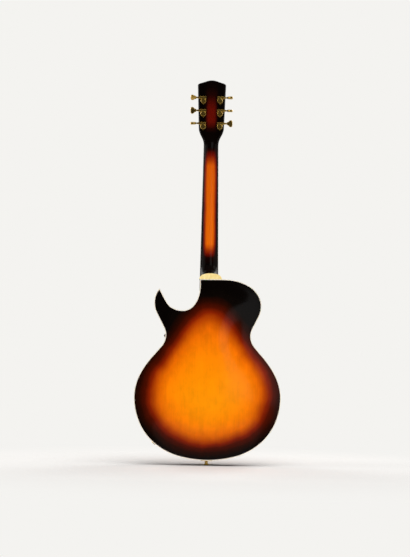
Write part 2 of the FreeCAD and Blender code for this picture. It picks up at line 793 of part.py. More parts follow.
def top_openings():
    """The holes in the top, each as an upright solid."""
    hole = sound_hole()
    faces = [hole, mirrored(hole)]
    half_long = PICKUP_LENGTH / 2 + PICKUP_ROUT_SLACK
    half_wide = PICKUP_WIDTH / 2 + PICKUP_ROUT_SLACK
    for height in pickup_heights():
        faces.append(rectangle(-half_long, half_long, height - half_wide, height + half_wide))
    return [slab(face, 0, FACE + TOOL_REACH) for face in faces]


def make_plate(patch, outline, thickness):
    """A carved plate of even thickness, cut to the outline inside the binding."""
    region = slab(inset_face(outline, BINDING_WIDTH + GLUE_LINE), -TOOL_REACH, TOOL_REACH)
    carved = patch.toShape().common(region)
    return carved.Faces[0].extrude(V(0, thickness, 0))


def ring(outline, outer, inner, low, high):
    return slab(inset_face(outline, outer).cut(inset_face(outline, inner)), low, high)


def side_regions():
    """Plan areas that part the rim into three bent strips."""
    bass, cutaway, treble = outline_nodes()
    tip = cutaway[-1][0]
    horn = treble[1][0]
    edge = cutaway[-2][0]
    joint = -CUTAWAY_WALL_REACH + RIM_THICKNESS
    above = BODY_LENGTH + TOOL_REACH
    inner_z = cutaway[2][0].z - LINING_WIDTH - RIM_THICKNESS
    heart = (horn + edge) * 0.5
    out = tip + (tip - heart)
    cutaway_area = polygon_face([out, heart, flat(edge.x, inner_z), flat(joint, inner_z),
                                 flat(joint, above), flat(out.x, above)])
    bass_area = polygon_face([flat(0, -TOOL_REACH), flat(HALF_BOUT + TOOL_REACH, -TOOL_REACH),
                              flat(HALF_BOUT + TOOL_REACH, above), flat(joint, above),
                              flat(joint, inner_z), flat(0, inner_z)])
    return bass_area, cutaway_area


def make_shell(top, back, outline):
    """Plates, rims, linings, bindings, blocks and tone bars, before holes for fittings."""
    parts = {}
    plate = make_plate(top, outline, -PLATE_THICKNESS)
    parts["top_plate"] = carve(plate, top_openings())
    parts["back_plate"] = make_plate(back, outline, PLATE_THICKNESS)
    rim = ring(outline, 0, RIM_THICKNESS, -HALF_RIM, HALF_RIM)
    bass_area, cutaway_area = side_regions()
    bass_tool = slab(bass_area, -TOOL_REACH, TOOL_REACH)
    cutaway_tool = slab(cutaway_area, -TOOL_REACH, TOOL_REACH)
    parts["side_bass"] = rim.common(bass_tool)
    parts["side_cutaway"] = rim.common(cutaway_tool)
    parts["side_treble"] = rim.cut([bass_tool, cutaway_tool])
    parts["top_binding"] = ring(outline, 0, BINDING_WIDTH, HALF_RIM, FACE)
    parts["back_binding"] = ring(outline, 0, BINDING_WIDTH, -FACE, -HALF_RIM)
    inner = inset_face(outline, RIM_THICKNESS + GLUE_LINE)
    neck_area = inner.common(rectangle(-CUTAWAY_WALL_REACH, NECK_BLOCK_BASS_REACH,
                                       BODY_LENGTH - NECK_BLOCK_LENGTH, BODY_LENGTH))
    tail_area = inner.common(rectangle(-TAIL_BLOCK_WIDTH / 2, TAIL_BLOCK_WIDTH / 2, 0,
                                       TAIL_BLOCK_LENGTH + RIM_THICKNESS))
    parts["neck_block"] = slab(neck_area, -HALF_RIM, HALF_RIM)
    parts["tail_block"] = slab(tail_area, -HALF_RIM, HALF_RIM)
    strip = ring(outline, RIM_THICKNESS + GLUE_LINE, RIM_THICKNESS + LINING_WIDTH, 0, LINING_HEIGHT)
    blocks = [parts["neck_block"], parts["tail_block"]]
    linings = [strip.translated(V(0, HALF_RIM - LINING_HEIGHT, 0)),
               strip.translated(V(0, -HALF_RIM, 0))]
    parts["linings"] = group([lining.cut(blocks) for lining in linings])
    parts["tone_bars"] = make_tone_bars(top)
    return parts


def make_tone_bars(top):
    """Two long bars glued under the top, one each side of the pickups."""
    low_z = TONE_BAR_LOW_SHARE * BODY_LENGTH
    high_z = TONE_BAR_HIGH_SHARE * BODY_LENGTH
    low_x = TONE_BAR_LOW_REACH_SHARE * HALF_BOUT
    high_x = PICKUP_LENGTH / 2 + TONE_BAR_TO_PICKUP
    half = TONE_BAR_WIDTH / 2
    plan = polygon_face([flat(low_x - half, low_z), flat(low_x + half, low_z), flat(high_x + half, high_z),
                         flat(high_x - half, high_z)])
    bars = []
    for bar in (plan, mirrored(plan)):
        glued = top.toShape().translated(V(0, -PLATE_THICKNESS - GLUE_LINE, 0))
        seat = glued.common(slab(bar, 0, FACE + TOP_RISE))
        bars.append(seat.Faces[0].extrude(V(0, -TONE_BAR_DEPTH, 0)))
    return group(bars)


# Neck, headstock and fingerboard

def neck_section(half_width, depth, square_share, frame, along):
    """One cross-section of the neck: a flat front, and a back that is rounded, square or in between."""
    left = V(-half_width, 0, along)
    bottom = V(0, -depth, along)
    edge = V(HEAD_EDGE - half_width, -depth, along)
    rounded = halves([left, V(-half_width, -NECK_ROUND_SHARE * depth, along),
                      V(-NECK_ROUND_SHARE * half_width, -depth, along), bottom])
    squared = [[left, V(-half_width, -HEAD_EDGE_SHARES[0] * depth, along),
                V(HEAD_EDGE * HEAD_EDGE_SHARES[1] - half_width, -depth, along), edge],
               straight(edge, bottom)]
    down = [[mix(start, end, square_share) for start, end in zip(*sides)]
            for sides in zip(rounded, squared)]
    up = [[V(-pole.x, pole.y, pole.z) for pole in reversed(side)] for side in reversed(down)]
    right = up[-1][-1]
    left_top = V(-half_width, SECTION_TOP, along)
    right_top = V(half_width, SECTION_TOP, along)
    poles = loop([straight(left_top, left)] + down + up
                 + [straight(right, right_top), straight(right_top, left_top)])
    return [frame.multVec(pole) for pole in poles]


def board_half_width(along):
    """Half the fingerboard's width at a distance below the nut."""
    return mix(NUT_WIDTH, BOARD_END_WIDTH, along / BOARD_LENGTH) / 2


def shaft_section(along):
    """The neck's cross-section at a distance below the nut."""
    to_body = (NUT_HEIGHT - BODY_LENGTH) / math.cos(math.radians(NECK_ANGLE))
    depth = mix(NECK_DEPTH_AT_NUT, NECK_DEPTH_AT_HEEL, along / to_body)
    half = board_half_width(along) - NECK_OVERHANG
    return neck_section(half, depth, 0, NECK_FRAME, -along)


def head_section(along, wide_share, square_share):
    """The headstock's cross-section, part of the way from the neck's form to the headstock's own."""
    half = mix(HEAD_LOW_HALF_WIDTH, HEAD_TOP_HALF_WIDTH,
               (along - HEAD_FLARE_LENGTH) / (HEAD_LENGTH - HEAD_FLARE_LENGTH))
    half = mix(NUT_WIDTH / 2, half, wide_share)
    return neck_section(half, HEAD_THICKNESS, square_share, HEAD_FRAME, along)


def neck_skin():
    """The whole neck: a straight shaft, a flare that bends back at the nut, and a straight headstock."""
    length = HEAD_FLARE_LENGTH * (1 + HEAD_FLARE_END_SHARE) + NUT_LENGTH
    count = 2 * len(HEAD_FLARE_SHARES)
    places = [length * share - HEAD_FLARE_LENGTH for share in stations(count)]
    flare = [shaft_section(-place) for place in places[:count // 2]]
    flare += [head_section(place - NUT_LENGTH, *shares)
              for place, shares in zip(places[count // 2:], HEAD_FLARE_SHARES)]
    end = head_section(HEAD_LENGTH * HEAD_OVERRUN_SHARE, *HEAD_FLARE_SHARES[-1])
    return skin_solid([[shaft_section(BOARD_LENGTH), flare[0]], flare, [flare[-1], end]])


def head_crown():
    """The plan of the headstock's end: a plain crown between two soft corners."""
    wide = HEAD_TOP_HALF_WIDTH + TOOL_REACH
    half = HEAD_TOP_HALF_WIDTH
    side_z = HEAD_LENGTH - HEAD_CROWN_RISE - HEAD_CORNER_RADIUS
    right = (flat(half, side_z), UP_ANGLE)
    turn = (flat(half - HEAD_CORNER_RADIUS, HEAD_LENGTH - HEAD_CROWN_RISE), HEAD_CORNER_ANGLE)
    top = (flat(0, HEAD_LENGTH), LEFT_ANGLE)
    left_turn = (flat(-turn[0].x, turn[0].z), FULL_ANGLE - HEAD_CORNER_ANGLE)
    left = (flat(-half, side_z), DOWN_ANGLE)
    edges = run_of_arcs([right, turn, top, left_turn, left])
    low = flat(0, -BODY_LENGTH * 2)
    corners = [left[0], flat(-wide, side_z), flat(-wide, low.z), flat(wide, low.z), flat(wide, side_z),
               right[0]]
    edges += [line(a, b) for a, b in zip(corners, corners[1:])]
    return put(slab(Part.Face(Part.Wire(edges)), -TOOL_REACH, TOOL_REACH), HEAD_FRAME)


def heel_section(width, reach, offset, height):
    """A half-moon cross-section of the heel, flat against the body."""
    half = width / 2
    left = V(offset - half, height, BODY_LENGTH)
    right = V(offset + half, height, BODY_LENGTH)
    crown = V(offset, height, BODY_LENGTH + reach)
    across = V(HEEL_ROUND_SHARE * half, 0, 0)
    out = V(0, 0, HEEL_ROUND_SHARE * reach)
    return loop(halves([left, left + out, crown - across, crown])
                + halves([crown, crown + across, right + out, right]) + [straight(right, left)])


def make_heel():
    top = BOARD_AT_BODY - NECK_DEPTH_AT_HEEL / 2
    return skin_solid([[heel_section(mix(HEEL_CAP_WIDTH, HEEL_THROAT_WIDTH, narrow), reach,
                                     mix(HEEL_CAP_OFFSET, 0, narrow), mix(-HALF_RIM, top, up))
                        for up, narrow, reach in zip(stations(len(HEEL_REACHES)), HEEL_NARROW_SHARES,
                                                     HEEL_REACHES)]])


def neck_tenon():
    half = TENON_WIDTH / 2
    low = mix(-HALF_RIM, HALF_RIM, TENON_LOW_SHARE)
    return block(V(-half, low, BODY_LENGTH - TENON_LENGTH),
                 V(half, HALF_RIM, BODY_LENGTH + TENON_LENGTH / 2))


def make_neck(arch, top):
    skin = neck_skin()
    reach = TOOL_REACH
    slab_room = block(V(-reach, 0, -BODY_LENGTH * 2), V(reach, reach, BODY_LENGTH))
    over_board = put(slab_room, NECK_FRAME)
    over_head = put(slab_room, HEAD_FRAME)
    half = BOARD_END_WIDTH
    window = arch.window(top, flat(-half, BOARD_END_HEIGHT - ARCH_STEP), flat(half, BODY_LENGTH))
    body = under(window.translated(V(0, GLUE_LINE, 0)))
    skin = carve(skin, [over_board, over_head, body]).common(head_crown())
    neck = skin.fuse(make_heel()).fuse(neck_tenon())
    channel = TRUSS_CHANNEL / 2
    to_body = NUT_HEIGHT - BODY_LENGTH
    slot = put(block(V(-channel, -TRUSS_ROD_INSET - channel, -to_body), V(channel, SECTION_TOP, 0)),
               NECK_FRAME)
    pocket_half = TRUSS_POCKET_WIDTH / 2
    pocket = put(block(V(-pocket_half, -TRUSS_ROD_INSET - pocket_half, 0),
                       V(pocket_half, SECTION_TOP, TRUSS_POCKET_LENGTH)), HEAD_FRAME)
    bridge = put(block(V(-channel, -TRUSS_ROD_INSET - channel, -NUT_LENGTH),
                       V(channel, -TRUSS_ROD_INSET + channel, NUT_LENGTH * 2)), NECK_FRAME)
    return carve(neck, [slot, pocket, bridge])


def make_truss_rod():
    to_body = NUT_HEIGHT - BODY_LENGTH
    depth = -TRUSS_ROD_INSET
    shaft = cylinder(TRUSS_ROD_RADIUS, V(0, depth, GLUE_LINE - to_body),
                     V(0, depth, NUT_LENGTH + TRUSS_NUT_LENGTH))
    start = NUT_LENGTH + TRUSS_NUT_START
    nut = cylinder(TRUSS_NUT_RADIUS, V(0, depth, start), V(0, depth, start + TRUSS_NUT_LENGTH))
    return put(shaft.fuse(nut), NECK_FRAME)


def board_section(along):
    half = board_half_width(along)
    drop = BOARD_RADIUS - math.sqrt(BOARD_RADIUS ** 2 - half ** 2)
    left = V(-half, BOARD_THICKNESS - drop, -along)
    right = V(half, BOARD_THICKNESS - drop, -along)
    crown = V(0, BOARD_THICKNESS, -along)
    edges = [line(V(-half, 0, -along), V(half, 0, -along)), line(V(half, 0, -along), right),
             Part.Arc(right, crown, left).toShape(), line(left, V(-half, 0, -along))]
    return Part.Wire(edges)


def fret_place(number):
    return SCALE_LENGTH * (1 - 2 ** (-number / FRETS_PER_OCTAVE))


def fret_count():
    """How many frets fit on the fingerboard."""
    octaves = -math.log(1 - (BOARD_LENGTH - FRET_END_MARGIN) / SCALE_LENGTH, 2)
    return int(octaves * FRETS_PER_OCTAVE)


def make_board():
    """Fingerboard, its two edge strips, its inlays and the frets, all in the neck's own frame."""
    whole = Part.makeLoft([board_section(0), board_section(BOARD_LENGTH)], True, True)
    slope = math.degrees(math.atan((BOARD_END_WIDTH - NUT_WIDTH) / 2 / BOARD_LENGTH))
    outside = block(V(0, -TOOL_REACH, -BOARD_LENGTH * 2), V(TOOL_REACH, TOOL_REACH, BOARD_LENGTH))
    lean = FreeCAD.Placement(V(NUT_WIDTH / 2 - BOARD_EDGE, 0, 0), FreeCAD.Rotation(Y_AXIS, -slope))
    right_tool = put(outside, lean)
    left_tool = mirrored(right_tool)
    strips = [whole.common(right_tool), whole.common(left_tool)]
    board = whole.cut([right_tool, left_tool])
    inlay_tools = []
    for number in [fret for fret in INLAY_FRETS if fret <= fret_count()]:
        upper = fret_place(number - 1)
        lower = fret_place(number)
        middle = (upper + lower) / 2
        half_long = (lower - upper) * INLAY_LENGTH_SHARE / 2
        half_wide = board_half_width(middle) * INLAY_WIDTH_SHARE
        inlay_tools.append(block(V(-half_wide, BOARD_THICKNESS - INLAY_DEPTH, -middle - half_long),
                                 V(half_wide, BOARD_THICKNESS + INLAY_DEPTH, -middle + half_long)))
    inlays = [board.common(tool) for tool in inlay_tools]
    board = board.cut(inlay_tools)
    frets = []
    for number in range(1, fret_count() + 1):
        along = -fret_place(number)
        base = BOARD_THICKNESS + FRET_LIFT
        arc = Part.Arc(V(0, base, along - FRET_RADIUS), V(0, base + FRET_RADIUS, along),
                       V(0, base, along + FRET_RADIUS)).toShape()
        chord = line(V(0, base, along + FRET_RADIUS), V(0, base, along - FRET_RADIUS))
        sweep = math.degrees(math.asin(board_half_width(-along) / BOARD_RADIUS))
        axis = V(0, BOARD_THICKNESS - BOARD_RADIUS, 0)
        profile = Part.Face(Part.Wire([arc, chord]))
        profile.rotate(axis, Z_AXIS, -sweep)
        frets.append(profile.revolve(axis, Z_AXIS, 2 * sweep))
    made = {"fingerboard": board, "fingerboard_binding": group(strips),
            "fingerboard_inlays": group(inlays), "frets": group(frets)}
    return {name: put(shape, NECK_FRAME) for name, shape in made.items()}


# Strings

def string_reach(number, span):
    """Where a string crosses, from the treble side at 0 to the bass side at 5."""
    return mix(-span / 2, span / 2, number / 5.0)


def tuner_of_string(number):
    """Row and side of the tuner that holds a string."""
    if number < 3:
        return number, -1
    return 5 - number, 1


def saddle_crown(x):
    """Height of the saddle's top over a place across it."""
    board = BOARD_AT_NUT + BOARD_THICKNESS + NECK_SLOPE * SCALE_LENGTH
    return board + SADDLE_TOP_OVER_BOARD - BOARD_RADIUS + math.sqrt(BOARD_RADIUS ** 2 - x ** 2)


def string_points(number):
    """Tail anchor, saddle, nut and post of one string."""
    radius = STRING_RADII[number]
    saddle_x = string_reach(number, SADDLE_STRING_SPAN)
    nut_x = string_reach(number, NUT_STRING_SPAN)
    anchor = V(saddle_x, TAIL_BAR_LIFT, TAIL_BAR_HEIGHT - TAIL_ANCHOR_DROP)
    saddle = V(saddle_x, saddle_crown(saddle_x) + radius, BRIDGE_HEIGHT)
    nut = NECK_FRAME.multVec(V(nut_x, BOARD_THICKNESS + NUT_STRING_LIFT, NUT_LENGTH / 2))
    row, side = tuner_of_string(number)
    post_x = side * (TUNER_REACH - POST_WAIST_RADIUS - radius - STRING_GAP)
    post = HEAD_FRAME.multVec(V(post_x, HEAD_FACING + POST_STRING_HEIGHT, TUNER_FIRST + row * TUNER_PITCH))
    return [anchor, saddle, nut, post]


def make_strings():
    return [rod(string_points(number), radius) for number, radius in enumerate(STRING_RADII)]


def string_slots(extra):
    return [rod(string_points(number), radius + extra) for number, radius in enumerate(STRING_RADII)]


def make_nut(slots):
    half = NUT_WIDTH / 2
    body = put(block(V(-half, 0, 0), V(half, BOARD_THICKNESS + NUT_RISE, NUT_LENGTH)), NECK_FRAME)
    return carve(body, slots)


# Tuners, in the headstock's own frame

def tuner_places():
    """Row and side of the tuners in their order: bass side from the nut up, then treble side."""
    return [(row, side) for side in (1, -1) for row in range(3)]


def tuner_post():
    back = -HEAD_THICKNESS - TUNER_SEAT
    gear_y = back - KEY_HEIGHT - GEAR_THICKNESS / 2
    shaft = cylinder(POST_RADIUS, V(0, gear_y, 0), V(0, HEAD_FACING + POST_FRONT, 0))
    gear = cylinder(GEAR_RADIUS, V(0, gear_y, 0), V(0, gear_y + GEAR_THICKNESS, 0))
    waist_y = HEAD_FACING + POST_STRING_HEIGHT - POST_WAIST_LENGTH / 2
    sleeve = cylinder(POST_RADIUS * 2, V(0, waist_y, 0), V(0, waist_y + POST_WAIST_LENGTH, 0))
    groove = sleeve.cut(cylinder(POST_WAIST_RADIUS, V(0, waist_y, 0), V(0, waist_y + POST_WAIST_LENGTH, 0)))
    hole_y = HEAD_FACING + POST_STRING_HEIGHT
    hole = cylinder(POST_HOLE_RADIUS, V(0, hole_y, -POST_RADIUS * 2), V(0, hole_y, POST_RADIUS * 2))
    return shaft.fuse(gear).cut([groove, hole])


def tuner_housing():
    """Bass-side housing with its foot, hollow for the gear, the worm and their shafts."""
    back = -HEAD_THICKNESS - TUNER_SEAT
    cap = cylinder(HOUSING_RADIUS, V(0, back, 0), V(0, back - HOUSING_HEIGHT, 0))
    cap = cap.makeFillet(HOUSING_EDGE, [edge for edge in cap.Edges
                                        if abs(edge.BoundBox.YMax - back + HOUSING_HEIGHT) < SAME_PLACE])
    axis_y = back - KEY_HEIGHT
    barrel = cylinder(KEY_BARREL_RADIUS, V(-HOUSING_RADIUS, axis_y, TUNER_OFFSET),
                      V(KEY_BARREL_END, axis_y, TUNER_OFFSET))
    seat = block(V(-HOUSING_RADIUS, axis_y, 0), V(HOUSING_RADIUS, back, TUNER_OFFSET + KEY_BARREL_RADIUS))
    foot = cylinder(FOOT_RADIUS, V(0, back, -TUNER_SCREW_DROP),
                    V(0, back - FOOT_THICKNESS, -TUNER_SCREW_DROP))
    web = block(V(-FOOT_RADIUS, back - FOOT_THICKNESS, -TUNER_SCREW_DROP), V(FOOT_RADIUS, back, 0))
    housing = fuse([cap, barrel, seat, foot, web])
    gear_low = axis_y - GEAR_THICKNESS / 2 - GEAR_GAP
    gear_room = cylinder(GEAR_RADIUS + GEAR_GAP, V(0, gear_low, 0),
                         V(0, gear_low + GEAR_THICKNESS + 2 * GEAR_GAP, 0))
    post_room = cylinder(POST_RADIUS + GEAR_GAP, V(0, gear_low, 0), V(0, back, 0))
    worm_half = WORM_LENGTH / 2 + GEAR_GAP
    worm_room = cylinder(WORM_RADIUS + GEAR_GAP, V(-worm_half, axis_y, TUNER_OFFSET),
                         V(worm_half, axis_y, TUNER_OFFSET))
    shaft_room = cylinder(KEY_SHAFT_RADIUS + RUNNING_GAP,
                          V(-KEY_SHAFT_INSET - RUNNING_GAP, axis_y, TUNER_OFFSET),
                          V(KEY_BARREL_END, axis_y, TUNER_OFFSET))
    screw = cylinder(TUNER_SCREW_RADIUS + RUNNING_GAP, V(0, back, -TUNER_SCREW_DROP),
                     V(0, back - FOOT_THICKNESS, -TUNER_SCREW_DROP))
    return carve(housing, [gear_room, post_room, worm_room, shaft_room, screw])


def tuner_key():
    """Bass-side key: worm, shaft, collar and a flat button that widens outward."""
    axis = lambda x: V(x, 0, 0)
    worm = cylinder(WORM_RADIUS, axis(-WORM_LENGTH / 2), axis(WORM_LENGTH / 2))
    end = KEY_BUTTON_START + KEY_BUTTON_LENGTH
    shaft = cylinder(KEY_SHAFT_RADIUS, axis(-KEY_SHAFT_INSET), axis(KEY_BUTTON_START + KEY_BUTTON_NECK / 2))
    collar = cone(KEY_COLLAR_RADIUS, KEY_SHAFT_RADIUS, axis(KEY_COLLAR_START), axis(KEY_BUTTON_START))
    half_neck = KEY_BUTTON_NECK / 2
    half_wide = KEY_BUTTON_WIDTH / 2
    wide_x = KEY_BUTTON_START + KEY_BUTTON_LENGTH * KEY_BUTTON_WIDE_SHARE
    start = flat(KEY_BUTTON_START, 0)
    nodes = [(start - flat(0, half_neck), 0), (flat(wide_x, -half_wide), 0), (flat(end, 0), UP_ANGLE),
             (flat(wide_x, half_wide), LEFT_ANGLE), (start + flat(0, half_neck), LEFT_ANGLE)]
    edges = run_of_arcs(nodes)
    edges.append(line(nodes[-1][0], nodes[0][0]))
    half_thick = KEY_BUTTON_THICKNESS / 2
    button = slab(Part.Face(Part.Wire(edges)), -half_thick, half_thick)
    rims = [edge for edge in button.Edges if edge.BoundBox.YLength < SAME_PLACE]
    button = button.makeFillet(KEY_BUTTON_EDGE, rims)
    return fuse([worm, shaft, collar, button])


def tuner_bushing():
    low = HEAD_FACING - BUSHING_DEPTH
    sleeve = cylinder(BUSHING_RADIUS, V(0, low, 0), V(0, HEAD_FACING, 0))
    flange = cylinder(BUSHING_FLANGE_RADIUS, V(0, HEAD_FACING, 0), V(0, HEAD_FACING + BUSHING_FLANGE, 0))
    bore = cylinder(POST_RADIUS + RUNNING_GAP, V(0, low, 0), V(0, HEAD_FACING + BUSHING_FLANGE, 0))
    return sleeve.fuse(flange).cut(bore)


def tuner_screw():
    seat = -HEAD_THICKNESS - TUNER_SEAT - FOOT_THICKNESS
    head = cylinder(TUNER_SCREW_HEAD_RADIUS, V(0, seat, 0), V(0, seat - TUNER_SCREW_HEAD, 0))
    shank = cylinder(TUNER_SCREW_RADIUS, V(0, seat, 0), V(0, seat + TUNER_SCREW_LENGTH, 0))
    return head.fuse(shank)


def tuner_centre(row, side):
    return V(side * TUNER_REACH, 0, TUNER_FIRST + row * TUNER_PITCH)


def at_tuner(shape, row, side):
    sided = mirrored(shape) if side < 0 else shape
    return put(put(sided, FreeCAD.Placement(tuner_centre(row, side), FreeCAD.Rotation())), HEAD_FRAME)


def make_tuners():
    """Every tuner piece, and the tools that bore the headstock and its facing for them."""
    parts = {"tuner_housings": [], "tuner_bushings": [], "tuner_screws": []}
    bores = []
    housing = tuner_housing()
    key = tuner_key()
    screw_drop = FreeCAD.Placement(V(0, 0, -TUNER_SCREW_DROP), FreeCAD.Rotation())
    bore = cylinder(BUSHING_RADIUS + RUNNING_GAP, V(0, -HEAD_THICKNESS - SECTION_TOP, 0),
                    V(0, HEAD_FACING, 0))
    screw_bore = cylinder(TUNER_SCREW_RADIUS + RUNNING_GAP, V(0, -HEAD_THICKNESS - SECTION_TOP, 0),
                          V(0, -HEAD_THICKNESS + TUNER_SCREW_LENGTH, 0))
    for index, (row, side) in enumerate(tuner_places()):
        number = str(index + 1)
        parts["tuner_housings"].append(at_tuner(housing, row, side))
        parts["tuner_bushings"].append(at_tuner(tuner_bushing(), row, side))
        parts["tuner_screws"].append(at_tuner(put(tuner_screw(), screw_drop), row, side))
        bores.append(at_tuner(bore, row, side))
        bores.append(at_tuner(put(screw_bore, screw_drop), row, side))
        parts["tuner_post_" + number] = at_tuner(tuner_post(), row, side)
        turn = FreeCAD.Placement(V(0, -HEAD_THICKNESS - TUNER_SEAT - KEY_HEIGHT, TUNER_OFFSET),
                                 FreeCAD.Rotation(X_AXIS, KEY_REST_ANGLES[index]))
        parts["tuner_key_" + number] = at_tuner(put(key, turn), row, side)
    for name in ("tuner_housings", "tuner_bushings", "tuner_screws"):
        parts[name] = group(parts[name])
    return parts, bores


def make_head_front(neck, bores):
    """Facing on the front of the headstock and the bare cover over the truss rod's nut."""
    front = HEAD_FRAME.Rotation.multVec(Y_AXIS)
    face = face_on(neck, HEAD_FRAME.Base, front)
    outer = Part.Face(face.OuterWire)
    facing = outer.extrude(front * HEAD_FACING)
    pocket = TRUSS_POCKET_WIDTH / 2
    room = put(block(V(-pocket, -SECTION_TOP, -NUT_LENGTH), V(pocket, SECTION_TOP, TRUSS_POCKET_LENGTH)),
               HEAD_FRAME)
    nut_room = put(block(V(-TOOL_REACH, 0, 0), V(TOOL_REACH, TOOL_REACH, NUT_LENGTH)), NECK_FRAME)
    facing = carve(facing, bores + [room, nut_room])
    half = TRUSS_COVER_WIDTH / 2
    tip = TRUSS_COVER_TIP_WIDTH / 2
    low = TRUSS_COVER_START
    high = low + TRUSS_COVER_LENGTH
    nodes = [(flat(half, low), UP_ANGLE), (flat(tip, high - tip), UP_ANGLE), (flat(0, high), LEFT_ANGLE),
             (flat(-tip, high - tip), DOWN_ANGLE), (flat(-half, low), DOWN_ANGLE)]
    edges = run_of_arcs(nodes)
    edges.append(line(nodes[-1][0], nodes[0][0]))
    cover = slab(Part.Face(Part.Wire(edges)), HEAD_FACING, HEAD_FACING + TRUSS_COVER_THICKNESS)
    return facing, put(cover, HEAD_FRAME)


# Bridge

def bridge_levels(arch, top):
    """Heights of the base's top, the thumbwheels and the saddle."""
    crown = arch.at(top, 0, BRIDGE_HEIGHT).y
    base = crown + BRIDGE_WAIST_RISE
    wheel = base + WHEEL_LIFT
    return base, wheel, wheel + WHEEL_THICKNESS + WHEEL_SEAT


def make_bridge(arch, top, slots):
    base_y, wheel_y, saddle_y = bridge_levels(arch, top)
    half = BRIDGE_LENGTH / 2
    low_z = BRIDGE_HEIGHT - BRIDGE_WIDTH / 2
    end_y = arch.at(top, half, BRIDGE_HEIGHT).y + BRIDGE_FOOT_RISE
    post = BRIDGE_POST_REACH + WHEEL_RADIUS
    below = FACE - PLATE_THICKNESS
    profile = polygon_face([V(-half, below, low_z), V(half, below, low_z), V(half, end_y, low_z),
                            V(post, base_y, low_z), V(-post, base_y, low_z), V(-half, end_y, low_z)])
    base = profile.extrude(V(0, 0, BRIDGE_WIDTH))
    window = arch.window(top, flat(-half - ARCH_STEP, low_z - ARCH_STEP),
                         flat(half + ARCH_STEP, low_z + BRIDGE_WIDTH + ARCH_STEP))
    lifted = window.translated(V(0, GLUE_LINE, 0))
    crown = arch.at(top, 0, BRIDGE_HEIGHT).y
    gap_half = BRIDGE_ARCH_HALF_WIDTH
    gap = Part.Face(Part.Wire([
        Part.Arc(V(-gap_half, crown, low_z), V(0, crown + BRIDGE_ARCH_RISE, low_z),
                 V(gap_half, crown, low_z)).toShape(),
        line(V(gap_half, crown, low_z), V(gap_half, below, low_z)),
        line(V(gap_half, below, low_z), V(-gap_half, below, low_z)),
        line(V(-gap_half, below, low_z), V(-gap_half, crown, low_z))])).extrude(V(0, 0, BRIDGE_WIDTH))
    base = carve(base, [under(lifted), gap])
    parts = {"bridge_base": base}
    posts = []
    sockets = []
    for name, side in (("thumbwheel_bass", 1), ("thumbwheel_treble", -1)):
        x = side * BRIDGE_POST_REACH
        foot = V(x, base_y - BRIDGE_POST_SINK, BRIDGE_HEIGHT)
        head = V(x, saddle_y + SADDLE_SHOULDER - SADDLE_DROP, BRIDGE_HEIGHT)
        posts.append(cylinder(BRIDGE_POST_RADIUS, foot, head))
        sockets.append(cylinder(BRIDGE_POST_RADIUS + GLUE_LINE, foot, head))
        wheel_low = V(x, wheel_y, BRIDGE_HEIGHT)
        wheel_high = V(x, wheel_y + WHEEL_THICKNESS, BRIDGE_HEIGHT)
        bore = cylinder(BRIDGE_POST_RADIUS + RUNNING_GAP, wheel_low, wheel_high)
        parts[name] = cylinder(WHEEL_RADIUS, wheel_low, wheel_high).cut(bore)
    parts["bridge_base"] = carve(base, sockets)
    parts["bridge_posts"] = group(posts)
    parts["bridge_saddle"] = make_saddle(saddle_y, slots)
    return parts


def make_saddle(saddle_y, slots):
    half = SADDLE_LENGTH / 2
    inner = SADDLE_STRING_SPAN / 2 + SADDLE_RIDGE
    side = V(inner, saddle_crown(inner), 0)
    shoulder_y = saddle_y + SADDLE_SHOULDER
    other_side = V(-side.x, side.y, 0)
    corners = [other_side, V(-half, shoulder_y, 0), V(-half, saddle_y, 0), V(half, saddle_y, 0),
               V(half, shoulder_y, 0), side]
    edges = [line(a, b) for a, b in zip(corners, corners[1:])]
    edges.append(Part.Arc(side, V(0, saddle_crown(0), 0), other_side).toShape())
    body = Part.Face(Part.Wire(edges)).extrude(V(0, 0, SADDLE_WIDTH))
    body = body.translated(V(0, 0, BRIDGE_HEIGHT - SADDLE_WIDTH / 2))
    ridge_half = SADDLE_RIDGE / 2
    tools = []
    for sign in (1, -1):
        top = saddle_crown(0) + SADDLE_RIDGE
        points = [V(-half * 2, shoulder_y, sign * SADDLE_WIDTH), V(-half * 2, top, sign * SADDLE_WIDTH),
                  V(-half * 2, top, sign * ridge_half), V(-half * 2, shoulder_y, sign * SADDLE_WIDTH / 2)]
        tool = polygon_face(points).extrude(V(half * 4, 0, 0))
        tools.append(tool.translated(V(0, 0, BRIDGE_HEIGHT)))
    bores = [cylinder(BRIDGE_POST_RADIUS + RUNNING_GAP, V(x, saddle_y, BRIDGE_HEIGHT),
                      V(x, saddle_y + SADDLE_SHOULDER, BRIDGE_HEIGHT))
             for x in (BRIDGE_POST_REACH, -BRIDGE_POST_REACH)]
    return carve(body, tools + bores + slots)


# Tailpiece and strap button

def tail_axis():
    """A point on the tailpiece's hinge line."""
    half = TAIL_BRACKET_THICKNESS / 2
    return V(0, TAIL_BRACKET_HIGH + TAIL_KNUCKLE_RADIUS - half, -half)


